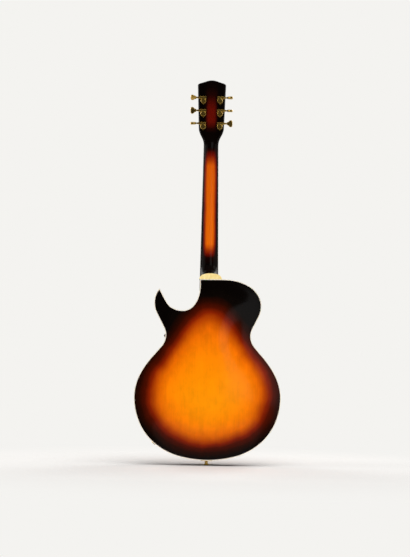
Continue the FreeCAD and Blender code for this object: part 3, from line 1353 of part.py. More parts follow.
def make_tailpiece(outline):
    """Bracket on the tail, hinge pin, hinged trapeze, and the screws that hold the bracket."""
    half = TAIL_BRACKET_WIDTH / 2
    strip = inset_face(outline, -TAIL_BRACKET_THICKNESS).cut(inset_face(outline, -GLUE_LINE))
    window = rectangle(-half, half, -TAIL_BRACKET_WIDTH, TAIL_BRACKET_WIDTH / 2)
    plate = slab(strip.common(window), -TAIL_BRACKET_LOW, TAIL_BRACKET_HIGH)
    hinge = tail_axis()
    along = lambda x: hinge + V(x, 0, 0)
    inner = half * (1 - 2 * TAIL_KNUCKLE_SHARE)
    gap = TAIL_KNUCKLE_GAP
    room = cylinder(TAIL_KNUCKLE_RADIUS + gap, along(-inner), along(inner))
    outer_knuckles = [cylinder(TAIL_KNUCKLE_RADIUS, along(inner), along(half)),
                      cylinder(TAIL_KNUCKLE_RADIUS, along(-half), along(-inner))]
    tail_room = slab(Part.Face(outline), -TOOL_REACH, FACE + GLUE_LINE)
    pin_bore = cylinder(TAIL_PIN_RADIUS + GLUE_LINE, along(-half), along(half))
    strap_bore = cylinder(STRAP_SCREW_RADIUS + GLUE_LINE, V(0, 0, -TAIL_BRACKET_WIDTH),
                          V(0, 0, TAIL_BRACKET_WIDTH))
    screws = []
    screw_bores = []
    for x, y in ((TAIL_SCREW_REACH, TAIL_SCREW_HEIGHT), (-TAIL_SCREW_REACH, TAIL_SCREW_HEIGHT),
                 (0, -TAIL_SCREW_HEIGHT)):
        seat = V(x, y, -TAIL_BRACKET_THICKNESS)
        shank_end = seat + V(0, 0, TAIL_SCREW_LENGTH)
        screws.append(cylinder(TAIL_SCREW_RADIUS, seat, shank_end).fuse(
            cylinder(TAIL_SCREW_HEAD_RADIUS, seat - V(0, 0, TAIL_SCREW_HEAD), seat)))
        screw_bores.append(cylinder(TAIL_SCREW_RADIUS + GLUE_LINE, seat - V(0, 0, TAIL_SCREW_LENGTH),
                                    shank_end))
    bracket = carve(plate.cut(room).fuse(outer_knuckles), [pin_bore, strap_bore, tail_room] + screw_bores)
    pin = cylinder(TAIL_PIN_RADIUS, along(-half), along(half))
    knuckle_half = inner - gap
    knuckle = cylinder(TAIL_KNUCKLE_RADIUS, along(-knuckle_half), along(knuckle_half))
    bar_half = TAIL_BAR_LENGTH / 2
    bar = block(V(-bar_half, TAIL_BAR_LIFT - TAIL_BAR_THICKNESS / 2, TAIL_BAR_HEIGHT - TAIL_BAR_WIDTH / 2),
                V(bar_half, TAIL_BAR_LIFT + TAIL_BAR_THICKNESS / 2, TAIL_BAR_HEIGHT + TAIL_BAR_WIDTH / 2))
    bar = bar.makeFillet(TAIL_BAR_EDGE, bar.Edges)
    legs = []
    for side in (1, -1):
        start = along(side * (knuckle_half - TAIL_LEG_RADIUS))
        bend = start + V(0, TAIL_LEG_RADIUS, TAIL_LEG_RISE)
        end = V(side * (bar_half - TAIL_LEG_RADIUS * 2), TAIL_BAR_LIFT, TAIL_BAR_HEIGHT)
        legs.append(rod([start, bend, end], TAIL_LEG_RADIUS))
    trapeze = fuse([knuckle, bar] + legs)
    trapeze = carve(trapeze, [cylinder(TAIL_PIN_RADIUS + RUNNING_GAP, along(-half), along(half))]
                    + string_slots(STRING_GAP))
    parts = {"tailpiece_bracket": bracket, "tailpiece_pin": pin, "tailpiece_trapeze": trapeze,
             "tailpiece_screws": group(screws)}
    return parts, screw_bores + [strap_bore]


def make_strap_button():
    top = -TAIL_BRACKET_THICKNESS
    neck_z = top - STRAP_BASE_LENGTH
    head_z = neck_z - STRAP_NECK_LENGTH
    end_z = head_z - STRAP_HEAD_LENGTH
    base = cone(STRAP_BASE_RADIUS, STRAP_NECK_RADIUS, V(0, 0, top), V(0, 0, neck_z))
    neck = cylinder(STRAP_NECK_RADIUS, V(0, 0, neck_z), V(0, 0, head_z))
    head = cylinder(STRAP_HEAD_RADIUS, V(0, 0, head_z), V(0, 0, end_z))
    rims = [edge for edge in head.Edges if edge.BoundBox.ZLength < SAME_PLACE]
    head = head.makeFillet(STRAP_HEAD_EDGE, rims)
    screw = cylinder(STRAP_SCREW_RADIUS, V(0, 0, top), V(0, 0, top + STRAP_SCREW_LENGTH))
    return fuse([base, neck, head, screw])


# Pickguard

def make_pickguard(outline):
    """A floating guard beside the strings, held by a bent rod that is screwed to the rim."""
    inner_x = -PICKUP_RING_LENGTH / 2 - GUARD_GAP_TO_PICKUP
    top_z = GUARD_TOP_SHARE * BODY_LENGTH
    low_z = GUARD_LOW_SHARE * BODY_LENGTH
    bend = flat(inner_x - GUARD_BEND_SHARES[1] * GUARD_WIDTH, mix(top_z, low_z, GUARD_BEND_SHARES[0]))
    wide = flat(inner_x - GUARD_WIDTH, mix(top_z, low_z, GUARD_WIDE_SHARE))
    toe = flat(inner_x - GUARD_TOE_SHARE * GUARD_WIDTH, low_z)
    top_corner = flat(inner_x, top_z)
    low_corner = flat(inner_x, low_z)
    edges = run_of_arcs([(top_corner, GUARD_TOP_ANGLE), (bend, GUARD_BEND_ANGLE), (wide, DOWN_ANGLE),
                         (toe, FULL_ANGLE)])
    edges += [line(toe, low_corner), line(low_corner, top_corner)]
    board_face = lambda z: BOARD_AT_BODY + BOARD_THICKNESS + NECK_SLOPE * (BODY_LENGTH - z)
    drop = GUARD_UNDER_BOARD + GUARD_THICKNESS
    tilt = FreeCAD.Placement(V(0, board_face(0) - drop, 0), FreeCAD.Rotation(X_AXIS, NECK_ANGLE))
    plate = slab(Part.Face(Part.Wire(edges)), 0, GUARD_THICKNESS)
    rims = [edge for edge in plate.Edges if edge.BoundBox.YMin > GUARD_THICKNESS - SAME_PLACE]
    guard = put(plate.makeChamfer(GUARD_EDGE, rims), tilt)
    rod_x = inner_x - GUARD_WIDTH * GUARD_ROD_REACH_SHARE
    waist_z = WAIST_HEIGHT_SHARE * BODY_LENGTH
    rod_y = board_face(waist_z + GUARD_ROD_RADIUS) - drop - GUARD_ROD_RADIUS - GUARD_ROD_GAP
    over_x = -HALF_WAIST - GUARD_ROD_RADIUS - GUARD_FOOT_THICKNESS
    path = [V(rod_x, rod_y, waist_z), V(over_x, rod_y, waist_z), V(over_x, GUARD_FOOT_HEIGHT, waist_z)]
    foot = cylinder(GUARD_FOOT_RADIUS, V(-HALF_WAIST - GLUE_LINE, GUARD_FOOT_HEIGHT, waist_z),
                    V(-HALF_WAIST - GUARD_FOOT_THICKNESS - GUARD_ROD_RADIUS, GUARD_FOOT_HEIGHT, waist_z))
    bracket = rod(path, GUARD_ROD_RADIUS).fuse(foot).cut(slab(inset_face(outline, -GLUE_LINE), -FACE, FACE))
    return guard, bracket


# Pickups

def make_pickups(arch, top):
    rings = []
    covers = []
    poles = []
    half_long = PICKUP_LENGTH / 2
    half_wide = PICKUP_WIDTH / 2
    for height, side in zip(pickup_heights(), (1, -1)):
        under_string = (string_points(2)[1].y - string_points(2)[2].y) / (NUT_HEIGHT - BRIDGE_HEIGHT)
        lid = string_points(2)[1].y - under_string * (height - BRIDGE_HEIGHT) - PICKUP_UNDER_STRING
        ring_long = PICKUP_RING_LENGTH / 2
        ring_wide = PICKUP_RING_WIDTH / 2
        centre_y = arch.at(top, 0, height).y
        ring_top = centre_y + PICKUP_RING_RISE
        plan = rectangle(-ring_long, ring_long, height - ring_wide, height + ring_wide)
        fit = PICKUP_FIT
        hole = rectangle(-half_long - fit, half_long + fit, height - half_wide - fit,
                         height + half_wide + fit)
        body = slab(plan.cut(hole), HALF_RIM, ring_top)
        window = arch.window(top, flat(-ring_long - ARCH_STEP, height - ring_wide - ARCH_STEP),
                             flat(ring_long + ARCH_STEP, height + ring_wide + ARCH_STEP))
        rings.append(body.cut(under(window.translated(V(0, GLUE_LINE, 0)))))
        cover = block(V(-half_long, lid - PICKUP_DEPTH, height - half_wide),
                      V(half_long, lid, height + half_wide))
        edges = [edge for edge in cover.Edges if edge.BoundBox.YMin > lid - PICKUP_EDGE
                 or edge.BoundBox.YLength > PICKUP_DEPTH / 2]
        cover = cover.makeFillet(PICKUP_EDGE, edges)
        holes = []
        for number in range(6):
            x = string_reach(number, POLE_SPAN)
            z = height + side * POLE_OFFSET
            poles.append(cylinder(POLE_RADIUS, V(x, lid - POLE_SINK, z), V(x, lid + POLE_RISE, z)))
            holes.append(cylinder(POLE_RADIUS + POLE_FIT, V(x, lid - POLE_SINK, z),
                                  V(x, lid + POLE_RISE, z)))
        covers.append(carve(cover, holes))
    return {"pickup_rings": group(rings), "pickup_covers": group(covers),
            "pickup_pole_screws": group(poles)}


# Knobs, switch and jack, each built on the Y axis and then set on the surface

def make_knob():
    top = KNOB_LIFT + KNOB_HEIGHT
    body = turned([(0, KNOB_LIFT), (KNOB_RADIUS, KNOB_LIFT), (KNOB_TOP_RADIUS, top),
                   (KNOB_DISH_RADIUS, top), (KNOB_DISH_RADIUS - KNOB_TOP_DISH, top - KNOB_TOP_DISH),
                   (0, top - KNOB_TOP_DISH)])
    hollow = cylinder(KNOB_HOLLOW_RADIUS, V(0, KNOB_LIFT, 0), V(0, KNOB_LIFT + KNOB_HOLLOW, 0))
    shaft = cylinder(POT_SHAFT_RADIUS, V(0, -POT_SHAFT_DEPTH, 0),
                     V(0, KNOB_LIFT + KNOB_HOLLOW + KNOB_SHAFT_GRIP, 0))
    return body.cut(hollow).fuse(shaft).removeSplitter()


def make_pot():
    """Case under the top, bushing through it and nut on top, in one piece with a blind bore."""
    low = -PLATE_THICKNESS - POT_TOP_GAP
    case = cylinder(POT_RADIUS, V(0, low, 0), V(0, low - POT_DEPTH, 0))
    bushing = cylinder(POT_BUSHING_RADIUS, V(0, low, 0), V(0, POT_NUT_THICKNESS + KNOB_LIFT, 0))
    nut = cylinder(POT_NUT_RADIUS, V(0, POT_TOP_GAP / 2, 0), V(0, POT_TOP_GAP / 2 + POT_NUT_THICKNESS, 0))
    bore = cylinder(POT_SHAFT_RADIUS + RUNNING_GAP, V(0, -POT_SHAFT_DEPTH - RUNNING_GAP, 0),
                    V(0, TOOL_REACH, 0))
    return fuse([case, bushing, nut]).cut(bore)


def make_switch():
    low = -PLATE_THICKNESS - POT_TOP_GAP
    body = cylinder(SWITCH_BODY_RADIUS, V(0, low, 0), V(0, low - SWITCH_BODY_DEPTH, 0))
    bushing = cylinder(SWITCH_BUSHING_RADIUS, V(0, low, 0), V(0, SWITCH_NUT_THICKNESS + KNOB_LIFT, 0))
    nut = cylinder(SWITCH_NUT_RADIUS, V(0, POT_TOP_GAP / 2, 0),
                   V(0, POT_TOP_GAP / 2 + SWITCH_NUT_THICKNESS, 0))
    bore = cylinder(SWITCH_BORE_RADIUS, V(0, -SWITCH_BALL_RADIUS * 2, 0), V(0, TOOL_REACH, 0))
    return fuse([body, bushing, nut]).cut(bore)


def make_switch_lever():
    ball = Part.makeSphere(SWITCH_BALL_RADIUS, V(0, 0, 0))
    stem_end = V(0, SWITCH_LEVER_LENGTH, 0)
    stem = cylinder(SWITCH_LEVER_RADIUS, V(0, 0, 0), stem_end)
    tip_half = V(0, SWITCH_TIP_LENGTH / 2, 0)
    tip = cone(SWITCH_TIP_RADIUS * SWITCH_TIP_TAPER_SHARE, SWITCH_TIP_RADIUS, stem_end - tip_half,
               stem_end + tip_half)
    rims = [edge for edge in tip.Edges if edge.BoundBox.YLength < SAME_PLACE]
    tip = tip.makeFillet(SWITCH_TIP_EDGE, rims)
    return fuse([ball, stem, tip])


def jack_place():
    """Point on the treble rim and the direction out of it."""
    point, along = outline_nodes()[2][-2]
    out = heading(along - UP_ANGLE)
    return point, out


def make_jack():
    """Built along Y with the rim's outside at zero."""
    washer = cylinder(JACK_WASHER_RADIUS, V(0, GLUE_LINE, 0), V(0, JACK_WASHER, 0))
    nut = cylinder(JACK_NUT_RADIUS, V(0, JACK_WASHER, 0), V(0, JACK_WASHER + JACK_NUT, 0))
    outer = JACK_WASHER + JACK_NUT
    bushing = cylinder(JACK_BUSHING_RADIUS, V(0, outer - JACK_LENGTH, 0), V(0, outer, 0))
    body_top = -RIM_THICKNESS - JACK_BODY_GAP
    body = cylinder(JACK_BODY_RADIUS, V(0, body_top, 0), V(0, body_top - JACK_BODY_LENGTH, 0))
    bore = cylinder(JACK_BORE_RADIUS, V(0, -TOOL_REACH, 0), V(0, TOOL_REACH, 0))
    return fuse([washer, nut, bushing, body]).cut(bore)


def jack_frame():
    point, out = jack_place()
    return FreeCAD.Placement(point, FreeCAD.Rotation(Y_AXIS, out))


def make_controls(arch, top):
    """Knobs, potentiometers, switch and jack, with the tools that bore for them."""
    parts = {}
    top_bores = []
    pots = []
    for index, (across, up) in enumerate(KNOB_PLACE_SHARES):
        frame = arch.frame(top, across * HALF_BOUT, up * BODY_LENGTH)
        parts["knob_" + str(index + 1)] = put(make_knob(), frame)
        pots.append(put(make_pot(), frame))
        hole = cylinder(POT_HOLE_RADIUS, V(0, -PLATE_THICKNESS * 2, 0), V(0, PLATE_THICKNESS * 2, 0))
        top_bores.append(put(hole, frame))
    parts["potentiometers"] = group(pots)
    frame = arch.frame(top, SWITCH_PLACE_SHARES[0] * HALF_BOUT, SWITCH_PLACE_SHARES[1] * BODY_LENGTH)
    parts["switch_body"] = put(make_switch(), frame)
    parts["switch_lever"] = put(make_switch_lever(), frame)
    hole = cylinder(SWITCH_HOLE_RADIUS, V(0, -PLATE_THICKNESS * 2, 0), V(0, PLATE_THICKNESS * 2, 0))
    top_bores.append(put(hole, frame))
    parts["output_jack"] = put(make_jack(), jack_frame())
    rim_hole = cylinder(JACK_HOLE_RADIUS, V(0, -RIM_THICKNESS * 2, 0), V(0, RIM_THICKNESS * 2, 0))
    return parts, top_bores, put(rim_hole, jack_frame())


def cutaway_opening():
    """Low and high corners of the clear box between the horn and the neck."""
    bass, cutaway, treble = outline_nodes()
    wall = cutaway[1][0]
    edge = cutaway[3][0]
    tip = cutaway[4][0]
    past = FACE + CUTAWAY_OPENING_PAST
    low = V(edge.x + CUTAWAY_OPENING_INSET, -past, edge.z + CUTAWAY_OPENING_INSET)
    high = V(wall.x - CUTAWAY_OPENING_INSET, past, tip.z)
    return low, high


def waist_opening():
    """Low and high corners of the clear box at the waist on the treble side, where a thigh goes."""
    bass, cutaway, treble = outline_nodes()
    horn = treble[1][0]
    waist = treble[3][0]
    hip = treble[4][0]
    past = FACE + CUTAWAY_OPENING_PAST
    inner = mix(waist.x, horn.x, WAIST_OPENING_REACH_SHARE)
    low = V(-HALF_BOUT, -past, mix(waist.z, hip.z, WAIST_OPENING_LOW_SHARE))
    high = V(inner, past, mix(waist.z, horn.z, WAIST_OPENING_HIGH_SHARE))
    return low, high


def make_guitar():
    """Every node by name, in the body's own heights."""
    outline = body_outline()
    arch = Arch(outline)
    top = arch.surface(FACE, TOP_RISE)
    back = arch.surface(-FACE, -BACK_RISE)
    parts = make_shell(top, back, outline)
    slots = string_slots(STRING_GAP)
    controls, top_bores, rim_bore = make_controls(arch, top)
    parts["top_plate"] = carve(parts["top_plate"], top_bores)
    parts["side_treble"] = parts["side_treble"].cut(rim_bore)
    parts.update(controls)
    neck = make_neck(arch, top)
    tenon = neck_tenon()
    for name in ("neck_block", "side_bass", "linings"):
        parts[name] = parts[name].cut(tenon)
    cap_face = face_on(neck, V(0, -HALF_RIM, 0), -Y_AXIS)
    parts["heel_cap"] = cap_face.extrude(V(0, -HEEL_CAP_THICKNESS, 0))
    tuners, head_bores = make_tuners()
    parts["headstock_facing"], parts["truss_rod_cover"] = make_head_front(neck, head_bores)
    parts["neck"] = carve(neck, head_bores)
    parts["truss_rod"] = make_truss_rod()
    parts.update(make_board())
    parts.update(tuners)
    parts["nut"] = make_nut(slots)
    parts["strings"] = group(make_strings())
    parts.update(make_bridge(arch, top, slots))
    tailpiece, tail_bores = make_tailpiece(outline)
    parts.update(tailpiece)
    for name in ("side_bass", "side_treble", "tail_block"):
        parts[name] = carve(parts[name], tail_bores)
    parts["strap_button"] = make_strap_button()
    parts["pickguard"], parts["pickguard_bracket"] = make_pickguard(outline)
    parts.update(make_pickups(arch, top))
    return parts


def main():
    os.makedirs("parts", exist_ok=True)
    shift = V(0, 0, -STRAP_BUTTON_Z)
    for name, shape in make_guitar().items():
        shape.translated(shift).exportStep("parts/" + name + ".step")


if __name__ == "__main__":
    main()
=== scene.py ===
import json
import math

import bmesh
import bpy
from bpy.props import FloatProperty, FloatVectorProperty, PointerProperty
from bpy.types import Operator, Panel, PropertyGroup
from mathutils import Matrix, Vector

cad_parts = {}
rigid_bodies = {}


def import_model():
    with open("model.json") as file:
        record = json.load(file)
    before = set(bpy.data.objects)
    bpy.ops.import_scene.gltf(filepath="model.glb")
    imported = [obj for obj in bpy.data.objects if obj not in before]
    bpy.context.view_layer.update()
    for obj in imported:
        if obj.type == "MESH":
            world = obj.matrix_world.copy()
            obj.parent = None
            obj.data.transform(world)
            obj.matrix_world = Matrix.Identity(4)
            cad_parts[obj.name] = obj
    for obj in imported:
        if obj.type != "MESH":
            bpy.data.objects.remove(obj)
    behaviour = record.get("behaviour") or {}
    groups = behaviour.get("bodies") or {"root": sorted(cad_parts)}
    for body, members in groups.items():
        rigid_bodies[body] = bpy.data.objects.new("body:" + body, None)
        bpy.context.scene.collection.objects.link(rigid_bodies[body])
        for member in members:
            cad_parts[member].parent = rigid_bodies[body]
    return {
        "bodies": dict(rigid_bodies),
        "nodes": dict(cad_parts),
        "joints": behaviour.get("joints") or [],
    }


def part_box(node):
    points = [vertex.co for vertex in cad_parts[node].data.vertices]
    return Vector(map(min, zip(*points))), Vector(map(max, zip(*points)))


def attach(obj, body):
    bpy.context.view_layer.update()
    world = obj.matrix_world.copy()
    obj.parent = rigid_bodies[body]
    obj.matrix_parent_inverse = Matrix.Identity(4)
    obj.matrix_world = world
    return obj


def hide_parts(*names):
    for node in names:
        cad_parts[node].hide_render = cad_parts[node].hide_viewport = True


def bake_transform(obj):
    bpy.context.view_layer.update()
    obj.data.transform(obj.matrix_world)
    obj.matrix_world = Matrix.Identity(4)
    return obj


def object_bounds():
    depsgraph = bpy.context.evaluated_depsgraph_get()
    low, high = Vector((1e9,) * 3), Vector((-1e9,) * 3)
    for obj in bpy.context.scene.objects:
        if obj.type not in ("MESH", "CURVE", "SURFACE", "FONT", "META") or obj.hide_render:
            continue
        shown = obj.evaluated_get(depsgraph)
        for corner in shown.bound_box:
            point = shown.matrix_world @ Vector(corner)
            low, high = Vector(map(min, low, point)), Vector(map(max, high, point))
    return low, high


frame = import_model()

bl_info = {
    "name": "Archtop guitar finish",
    "version": (1, 0, 0),
    "blender": (4, 5, 0),
    "location": "3D View > Sidebar > Archtop",
    "description": "Lacquer, plating, strings and small fittings for an archtop guitar, and a studio",
    "category": "Object",
}

kept = set(frame["nodes"].values()) | set(frame["bodies"].values())
for extra in [item for item in bpy.data.objects if item not in kept]:
    bpy.data.objects.remove(extra)
CAD_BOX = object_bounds()

MM = 0.001
ROOT = "guitar"
JOINTS = {joint["name"]: joint for joint in frame["joints"]}
ORIGIN = (0.0, 0.0, 0.0)
UP = (0.0, 0.0, 1.0)

# Vertices this close become one, edges this short go, and edges flatter than the angle are smooth.
MERGE_DISTANCE = 0.001 * MM
SHORTEST_EDGE = 0.005 * MM
SOFT_EDGE = math.radians(32)

# Which solids take which finish
BINDING_NODES = ("top_binding", "back_binding", "fingerboard_binding")
INSIDE_NODES = ("linings", "neck_block", "tail_block", "tone_bars")
RIM_NODES = ("side_bass", "side_treble", "side_cutaway")
DARK_WOOD_NODES = ("fingerboard", "bridge_base", "bridge_saddle")
BLACK_PLASTIC_NODES = ("pickup_rings", "truss_rod_cover")
STEEL_NODES = ("truss_rod", "potentiometers")
TUNER_NODES = ("tuner_housings", "tuner_bushings", "tuner_screws")
TAIL_NODES = ("tailpiece_bracket", "tailpiece_pin", "tailpiece_trapeze", "tailpiece_screws", "strap_button")
FITTING_NODES = ("bridge_posts", "pickguard_bracket", "pickup_covers", "switch_body", "output_jack")
KNOB_COUNT = 4

# Radius of the string on each tuner's post, in the tuners' order, and how its turns are wound
WIRE_RADII = (0.6 * MM, 0.48 * MM, 0.38 * MM, 0.16 * MM, 0.2 * MM, 0.28 * MM)
WIRE_TURNS = 4
WIRE_STEPS = 24
WIRE_SIDES = 8
WIRE_PITCH_SHARE = 1.06
STRING_OVERRUN = 1 * MM
POST_WAIST_RADIUS = 2.2 * MM
POST_WAIST_DROP = 8.0 * MM

# Where the lacquer is sprayed. The clear field of a plate is a pear: a large circle below, a small one
# above and their tangents, with its width squeezed. Its border starts inside the pear and ends outside.
BACK_FIELD = {"low": 198.8 * MM, "high": 407.3 * MM, "low_radius": 141.3 * MM, "high_radius": 31.7 * MM,
              "squeeze_share": 0.837}
BACK_FIELD_SHIFT = 3.6 * MM
BACK_BORDER_START = -107.5 * MM
BACK_BORDER_END = 71.1 * MM
BACK_DRIFT = 22 * MM
BACK_RED_START = 141.5 * MM
BACK_RED_END = 453.7 * MM
BACK_RED_SHARE = 0.7
BACK_BLEND_SHARE = 0.22
TOP_FIELD = {"low": 210 * MM, "high": 400 * MM, "low_radius": 150 * MM, "high_radius": 55 * MM,
             "squeeze_share": 0.88}
TOP_BORDER_START = -140 * MM
TOP_BORDER_END = 60 * MM
TOP_DRIFT = 20 * MM
RIM_HALF_BAND = 46 * MM
RIM_DRIFT = 12 * MM
RIM_DARK_START = 360 * MM
RIM_DARK_END = 470 * MM
RIM_DARK_SHIFT = 22 * MM
NECK_STRIPE_EDGE = 24 * MM
NECK_STRIPE_CORE = 9 * MM
NECK_DRIFT = 4 * MM
NECK_RUN_START = 550 * MM
NECK_RUN_END = 1110 * MM

# Sizes of the patterns in each finish along X, Y and Z, in millimetres
BACK_SPRAY = (90, 90, 90)
MAPLE_FIBRE = (3.2, 40, 70)
MAPLE_FLECK = (0.7, 20, 9)
MAPLE_CLOUD = (20, 40, 30)
LACQUER_RUB = (30, 30, 60)
TOP_SPRAY = (80, 80, 80)
YEAR_BEND = (60, 60, 300)
SPRUCE_CLOUD = (20, 40, 60)
RIM_SPRAY = (60, 60, 60)
RIM_FIBRE = (40, 1.6, 40)
RIM_FLAME = (7, 80, 7)
NECK_SPRAY = (30, 30, 80)
NECK_FIBRE = (1.4, 3, 45)
POLISH_HAZE = (14, 14, 14)
CELLULOID_CLOUD = (9, 9, 16)
CELLULOID_SKIN = (0.6, 0.6, 2)
RAW_FIBRE = (2, 2, 40)
ROSEWOOD_STREAK = (5, 5, 120)
ROSEWOOD_PORE = (0.5, 0.5, 6)
PEARL_BAND = (8, 8, 14)
BONE_LINE = (9, 0.8, 0.8)
PLATING_WEAR = (12, 12, 12)
PLATING_GRIT = (0.7, 0.7, 0.7)
ROLLING_LINE = (0.4, 0.4, 9)
PLASTIC_RUB = (5, 5, 18)
PLASTIC_SKIN = (0.9, 0.9, 0.9)
ACRYLIC_CLOUD = (6, 6, 6)
PAPER_CLOUD = (500, 500, 500)
FELT_NAP = (40, 40, 40)

# The part of a pattern's range that shades a colour or sets its tone
SHADE_LOW = 0.25
SHADE_HIGH = 0.75
TONE_LOW = 0.3
TONE_HIGH = 0.7

# Spacing of the year lines and of the wire on wound strings, and how far the year lines wander
YEAR_LINE = 2 * MM
YEAR_WANDER = 3 * MM
WOUND_WIRE = 0.7 * MM

# No string lies this near the middle, where wound ones change to plain.
MIDDLE_HALF_GAP = 1 * MM

# Wood under lacquer has hardly any gloss of its own.
LACQUERED_WOOD_IOR = 1.04

# Small turned and cut forms. A knob's radius and height, in millimetres, run from the foot of its shaft
# to its dished top.
KNOB_PROFILE = ((0.0, -10.0), (3.0, -10.0), (3.0, 6.6), (9.0, 6.6), (9.0, 1.6), (12.4, 1.6), (12.2, 4.0),
                (10.7, 14.6), (10.2, 15.4), (9.6, 15.6), (7.6, 15.6), (6.6, 14.6), (0.0, 14.6))
KNOB_STEPS = 48
KNOB_DISH_RADIUS = 6.8 * MM
KNOB_DISH_LOW = 14.0 * MM
KNOB_GRIP_RADIUS = 10.0 * MM
WHEEL_STEPS = 72
WHEEL_BORE = 2.56 * MM
WHEEL_EDGE = 0.4 * MM
GRIP_EDGE = 0.15 * MM
GRIP_WALL_TILT = 0.3
POLE_RADIUS = 2.4 * MM
POLE_SLOT = 0.9 * MM
POLE_SLOT_DEPTH = 0.5 * MM
POLE_TOP_FACING = 0.9
LEVER_STEM_SHARE = 0.6

# The studio: soft boxes by azimuth and elevation from the camera's side in degrees, distance, width and
# height in metres, and watts. The white of the room is also where the floor ends.
SOFT_BOXES = {
    "glare": (15.0, 0.0, 3.0, 0.9, 1.0, 5.0),
    "side": (-75.0, 20.0, 3.0, 0.8, 1.8, 18.0),
    "front_key": (140.0, 32.0, 3.2, 1.6, 1.6, 50.0),
    "front_fill": (-138.0, 26.0, 3.2, 1.6, 1.6, 34.0),
}
SUN_AZIMUTH = 28.0
SUN_ELEVATION = 62.0
SUN_STRENGTH = 3.42
SUN_ANGLE = 70.0
ROOM_WHITE = "F4F3F0"
ROOM_GREY = "9A9AA0"
ROOM_LEVEL = 0.35
CAMERA_REACH = 200.0
FLOOR_HALF_SIZE = 30.0
FLOOR_PANELS = 2
FLOOR_FADE_START = 0.25
FLOOR_FADE_END = 1.1
CLOTH_SIZE = (7.0, 5.0)
CLOTH_PANELS = 8
CLOTH_BEHIND = 1.0
CLOTH_ON_FLOOR = -0.6
CLOTH_OVERHEAD = 0.8
CLOTH_LIFT = 2 * MM


def srgb(code):
    """Linear colour, with alpha, of a hex code."""
    levels = [int(code[i:i + 2], 16) / 255 for i in (0, 2, 4)]
    return tuple(v / 12.92 if v <= 0.04045 else ((v + 0.055) / 1.055) ** 2.4 for v in levels) + (1.0,)


def colour_property(name, description, code):
    """A colour that a user can change."""
    return FloatVectorProperty(name=name, description=description, default=srgb(code), size=4,
                               min=0.0, max=1.0, subtype="COLOR")


class ArchtopColours(PropertyGroup):
    """Colours of the lacquer and plastics."""
    back_field: colour_property("Back", "Amber stain in the middle of the back", "FF9803")
    top_field: colour_property("Top", "Amber stain in the middle of the top", "F9A11E")
    neck_stripe: colour_property("Neck stripe", "Orange stripe up the back of the neck", "E86A06")
    binding: colour_property("Binding", "Celluloid round the plates and the fingerboard", "F6EEE0")
    binding_cloud: colour_property("Binding clouds", "Darker clouds in the binding", "E6DAC4")
    cap: colour_property("Heel cap", "Celluloid on the heel", "FFEDAE")
    cap_cloud: colour_property("Heel cap clouds", "Darker clouds in the heel cap", "F5D685")
    knob: colour_property("Knobs", "Amber acrylic where it is pale", "CC7A0A")
    knob_cloud: colour_property("Knob clouds", "Amber acrylic where it is deep", "8E4402")


class ArchtopFinish(PropertyGroup):
    """How the lacquer, wood and plating look."""
    grain: FloatProperty(name="Grain", description="How strongly the fibres show through the lacquer",
                         default=0.2, min=0.0, max=1.0, subtype="FACTOR")
    gloss: FloatProperty(name="Lacquer roughness", description="Roughness of the clear lacquer",
                         default=0.13, min=0.0, max=1.0, subtype="FACTOR")
    coat: FloatProperty(name="Lacquer weight", description="How much of its gloss the old lacquer has kept",
                        default=0.12, min=0.0, max=1.0, subtype="FACTOR")
    tarnish: FloatProperty(name="Tarnish", description="Roughness of the old gold plating where it is worn",
                           default=0.28, min=0.0, max=1.0, subtype="FACTOR")


class ArchtopParts(PropertyGroup):
    """Sizes of the pieces made here."""
    knob_flute: FloatProperty(name="Knob flute", description="Depth of the grip flutes on the knobs",
                              default=0.3 * MM, unit="LENGTH")
    wheel_flute: FloatProperty(name="Wheel flute", description="Depth of the notches round the thumbwheels",
                               default=0.35 * MM, unit="LENGTH")


class ArchtopStage(PropertyGroup):
    """Camera and light."""
    lean: FloatProperty(name="Lean", description="How far the guitar leans away from the camera",
                        default=math.radians(5.29), unit="ROTATION")
    roll: FloatProperty(name="Roll", description="Turn of the camera about its own axis",
                        default=0.0156, unit="ROTATION")
    distance: FloatProperty(name="Distance", description="From the camera to the plane of the back",
                            default=3.37, unit="LENGTH")
    aim_x: FloatProperty(name="Aim across", description="Where the camera's axis meets the back, across",
                         default=-0.0116, unit="LENGTH")
    aim_z: FloatProperty(name="Aim up", description="Where the camera's axis meets the back, up",
                         default=0.5239, unit="LENGTH")
    lens: FloatProperty(name="Lens", description="Focal length on a 36 mm sensor, in millimetres",
                        default=76.9, unit="CAMERA")
    light: FloatProperty(name="Light", description="Level of the whole studio light", default=1.0, min=0.0)


# Nodes

def add(tree, kind, inputs=None, stops=None, out=0, **settings):
    """One shader node: its settings, a value or a link for each named input, and the output asked for."""
    node = tree.nodes.new("ShaderNode" + kind)
    for name, value in settings.items():
        setattr(node, name, value)
    for name, value in (inputs or {}).items():
        if isinstance(value, bpy.types.NodeSocket):
            tree.links.new(value, node.inputs[name])
        else:
            node.inputs[name].default_value = value
    if stops:
        elements = node.color_ramp.elements
        while len(elements) < len(stops):
            elements.new(1.0)
        for element, (position, code) in zip(elements, stops):
            element.position = position
            element.color = srgb(code) if isinstance(code, str) else code
    return node.outputs[out] if node.outputs else None


def start_material(name):
    """A material with an empty tree, and the object's own coordinates in it."""
    material = bpy.data.materials.new(name)
    material.use_nodes = True
    tree = material.node_tree
    tree.nodes.clear()
    return material, tree, add(tree, "TexCoord", out="Object")


def end_material(tree, inputs, relief=None, depth=0.0, strength=0.05):
    """The shader and the output. A relief pattern, where there is one, is felt to this depth in mm."""
    if relief:
        felt = {"Height": relief, "Strength": strength, "Distance": depth * MM}
        inputs["Normal"] = add(tree, "Bump", felt)
    add(tree, "OutputMaterial", {"Surface": add(tree, "BsdfPrincipled", inputs)})


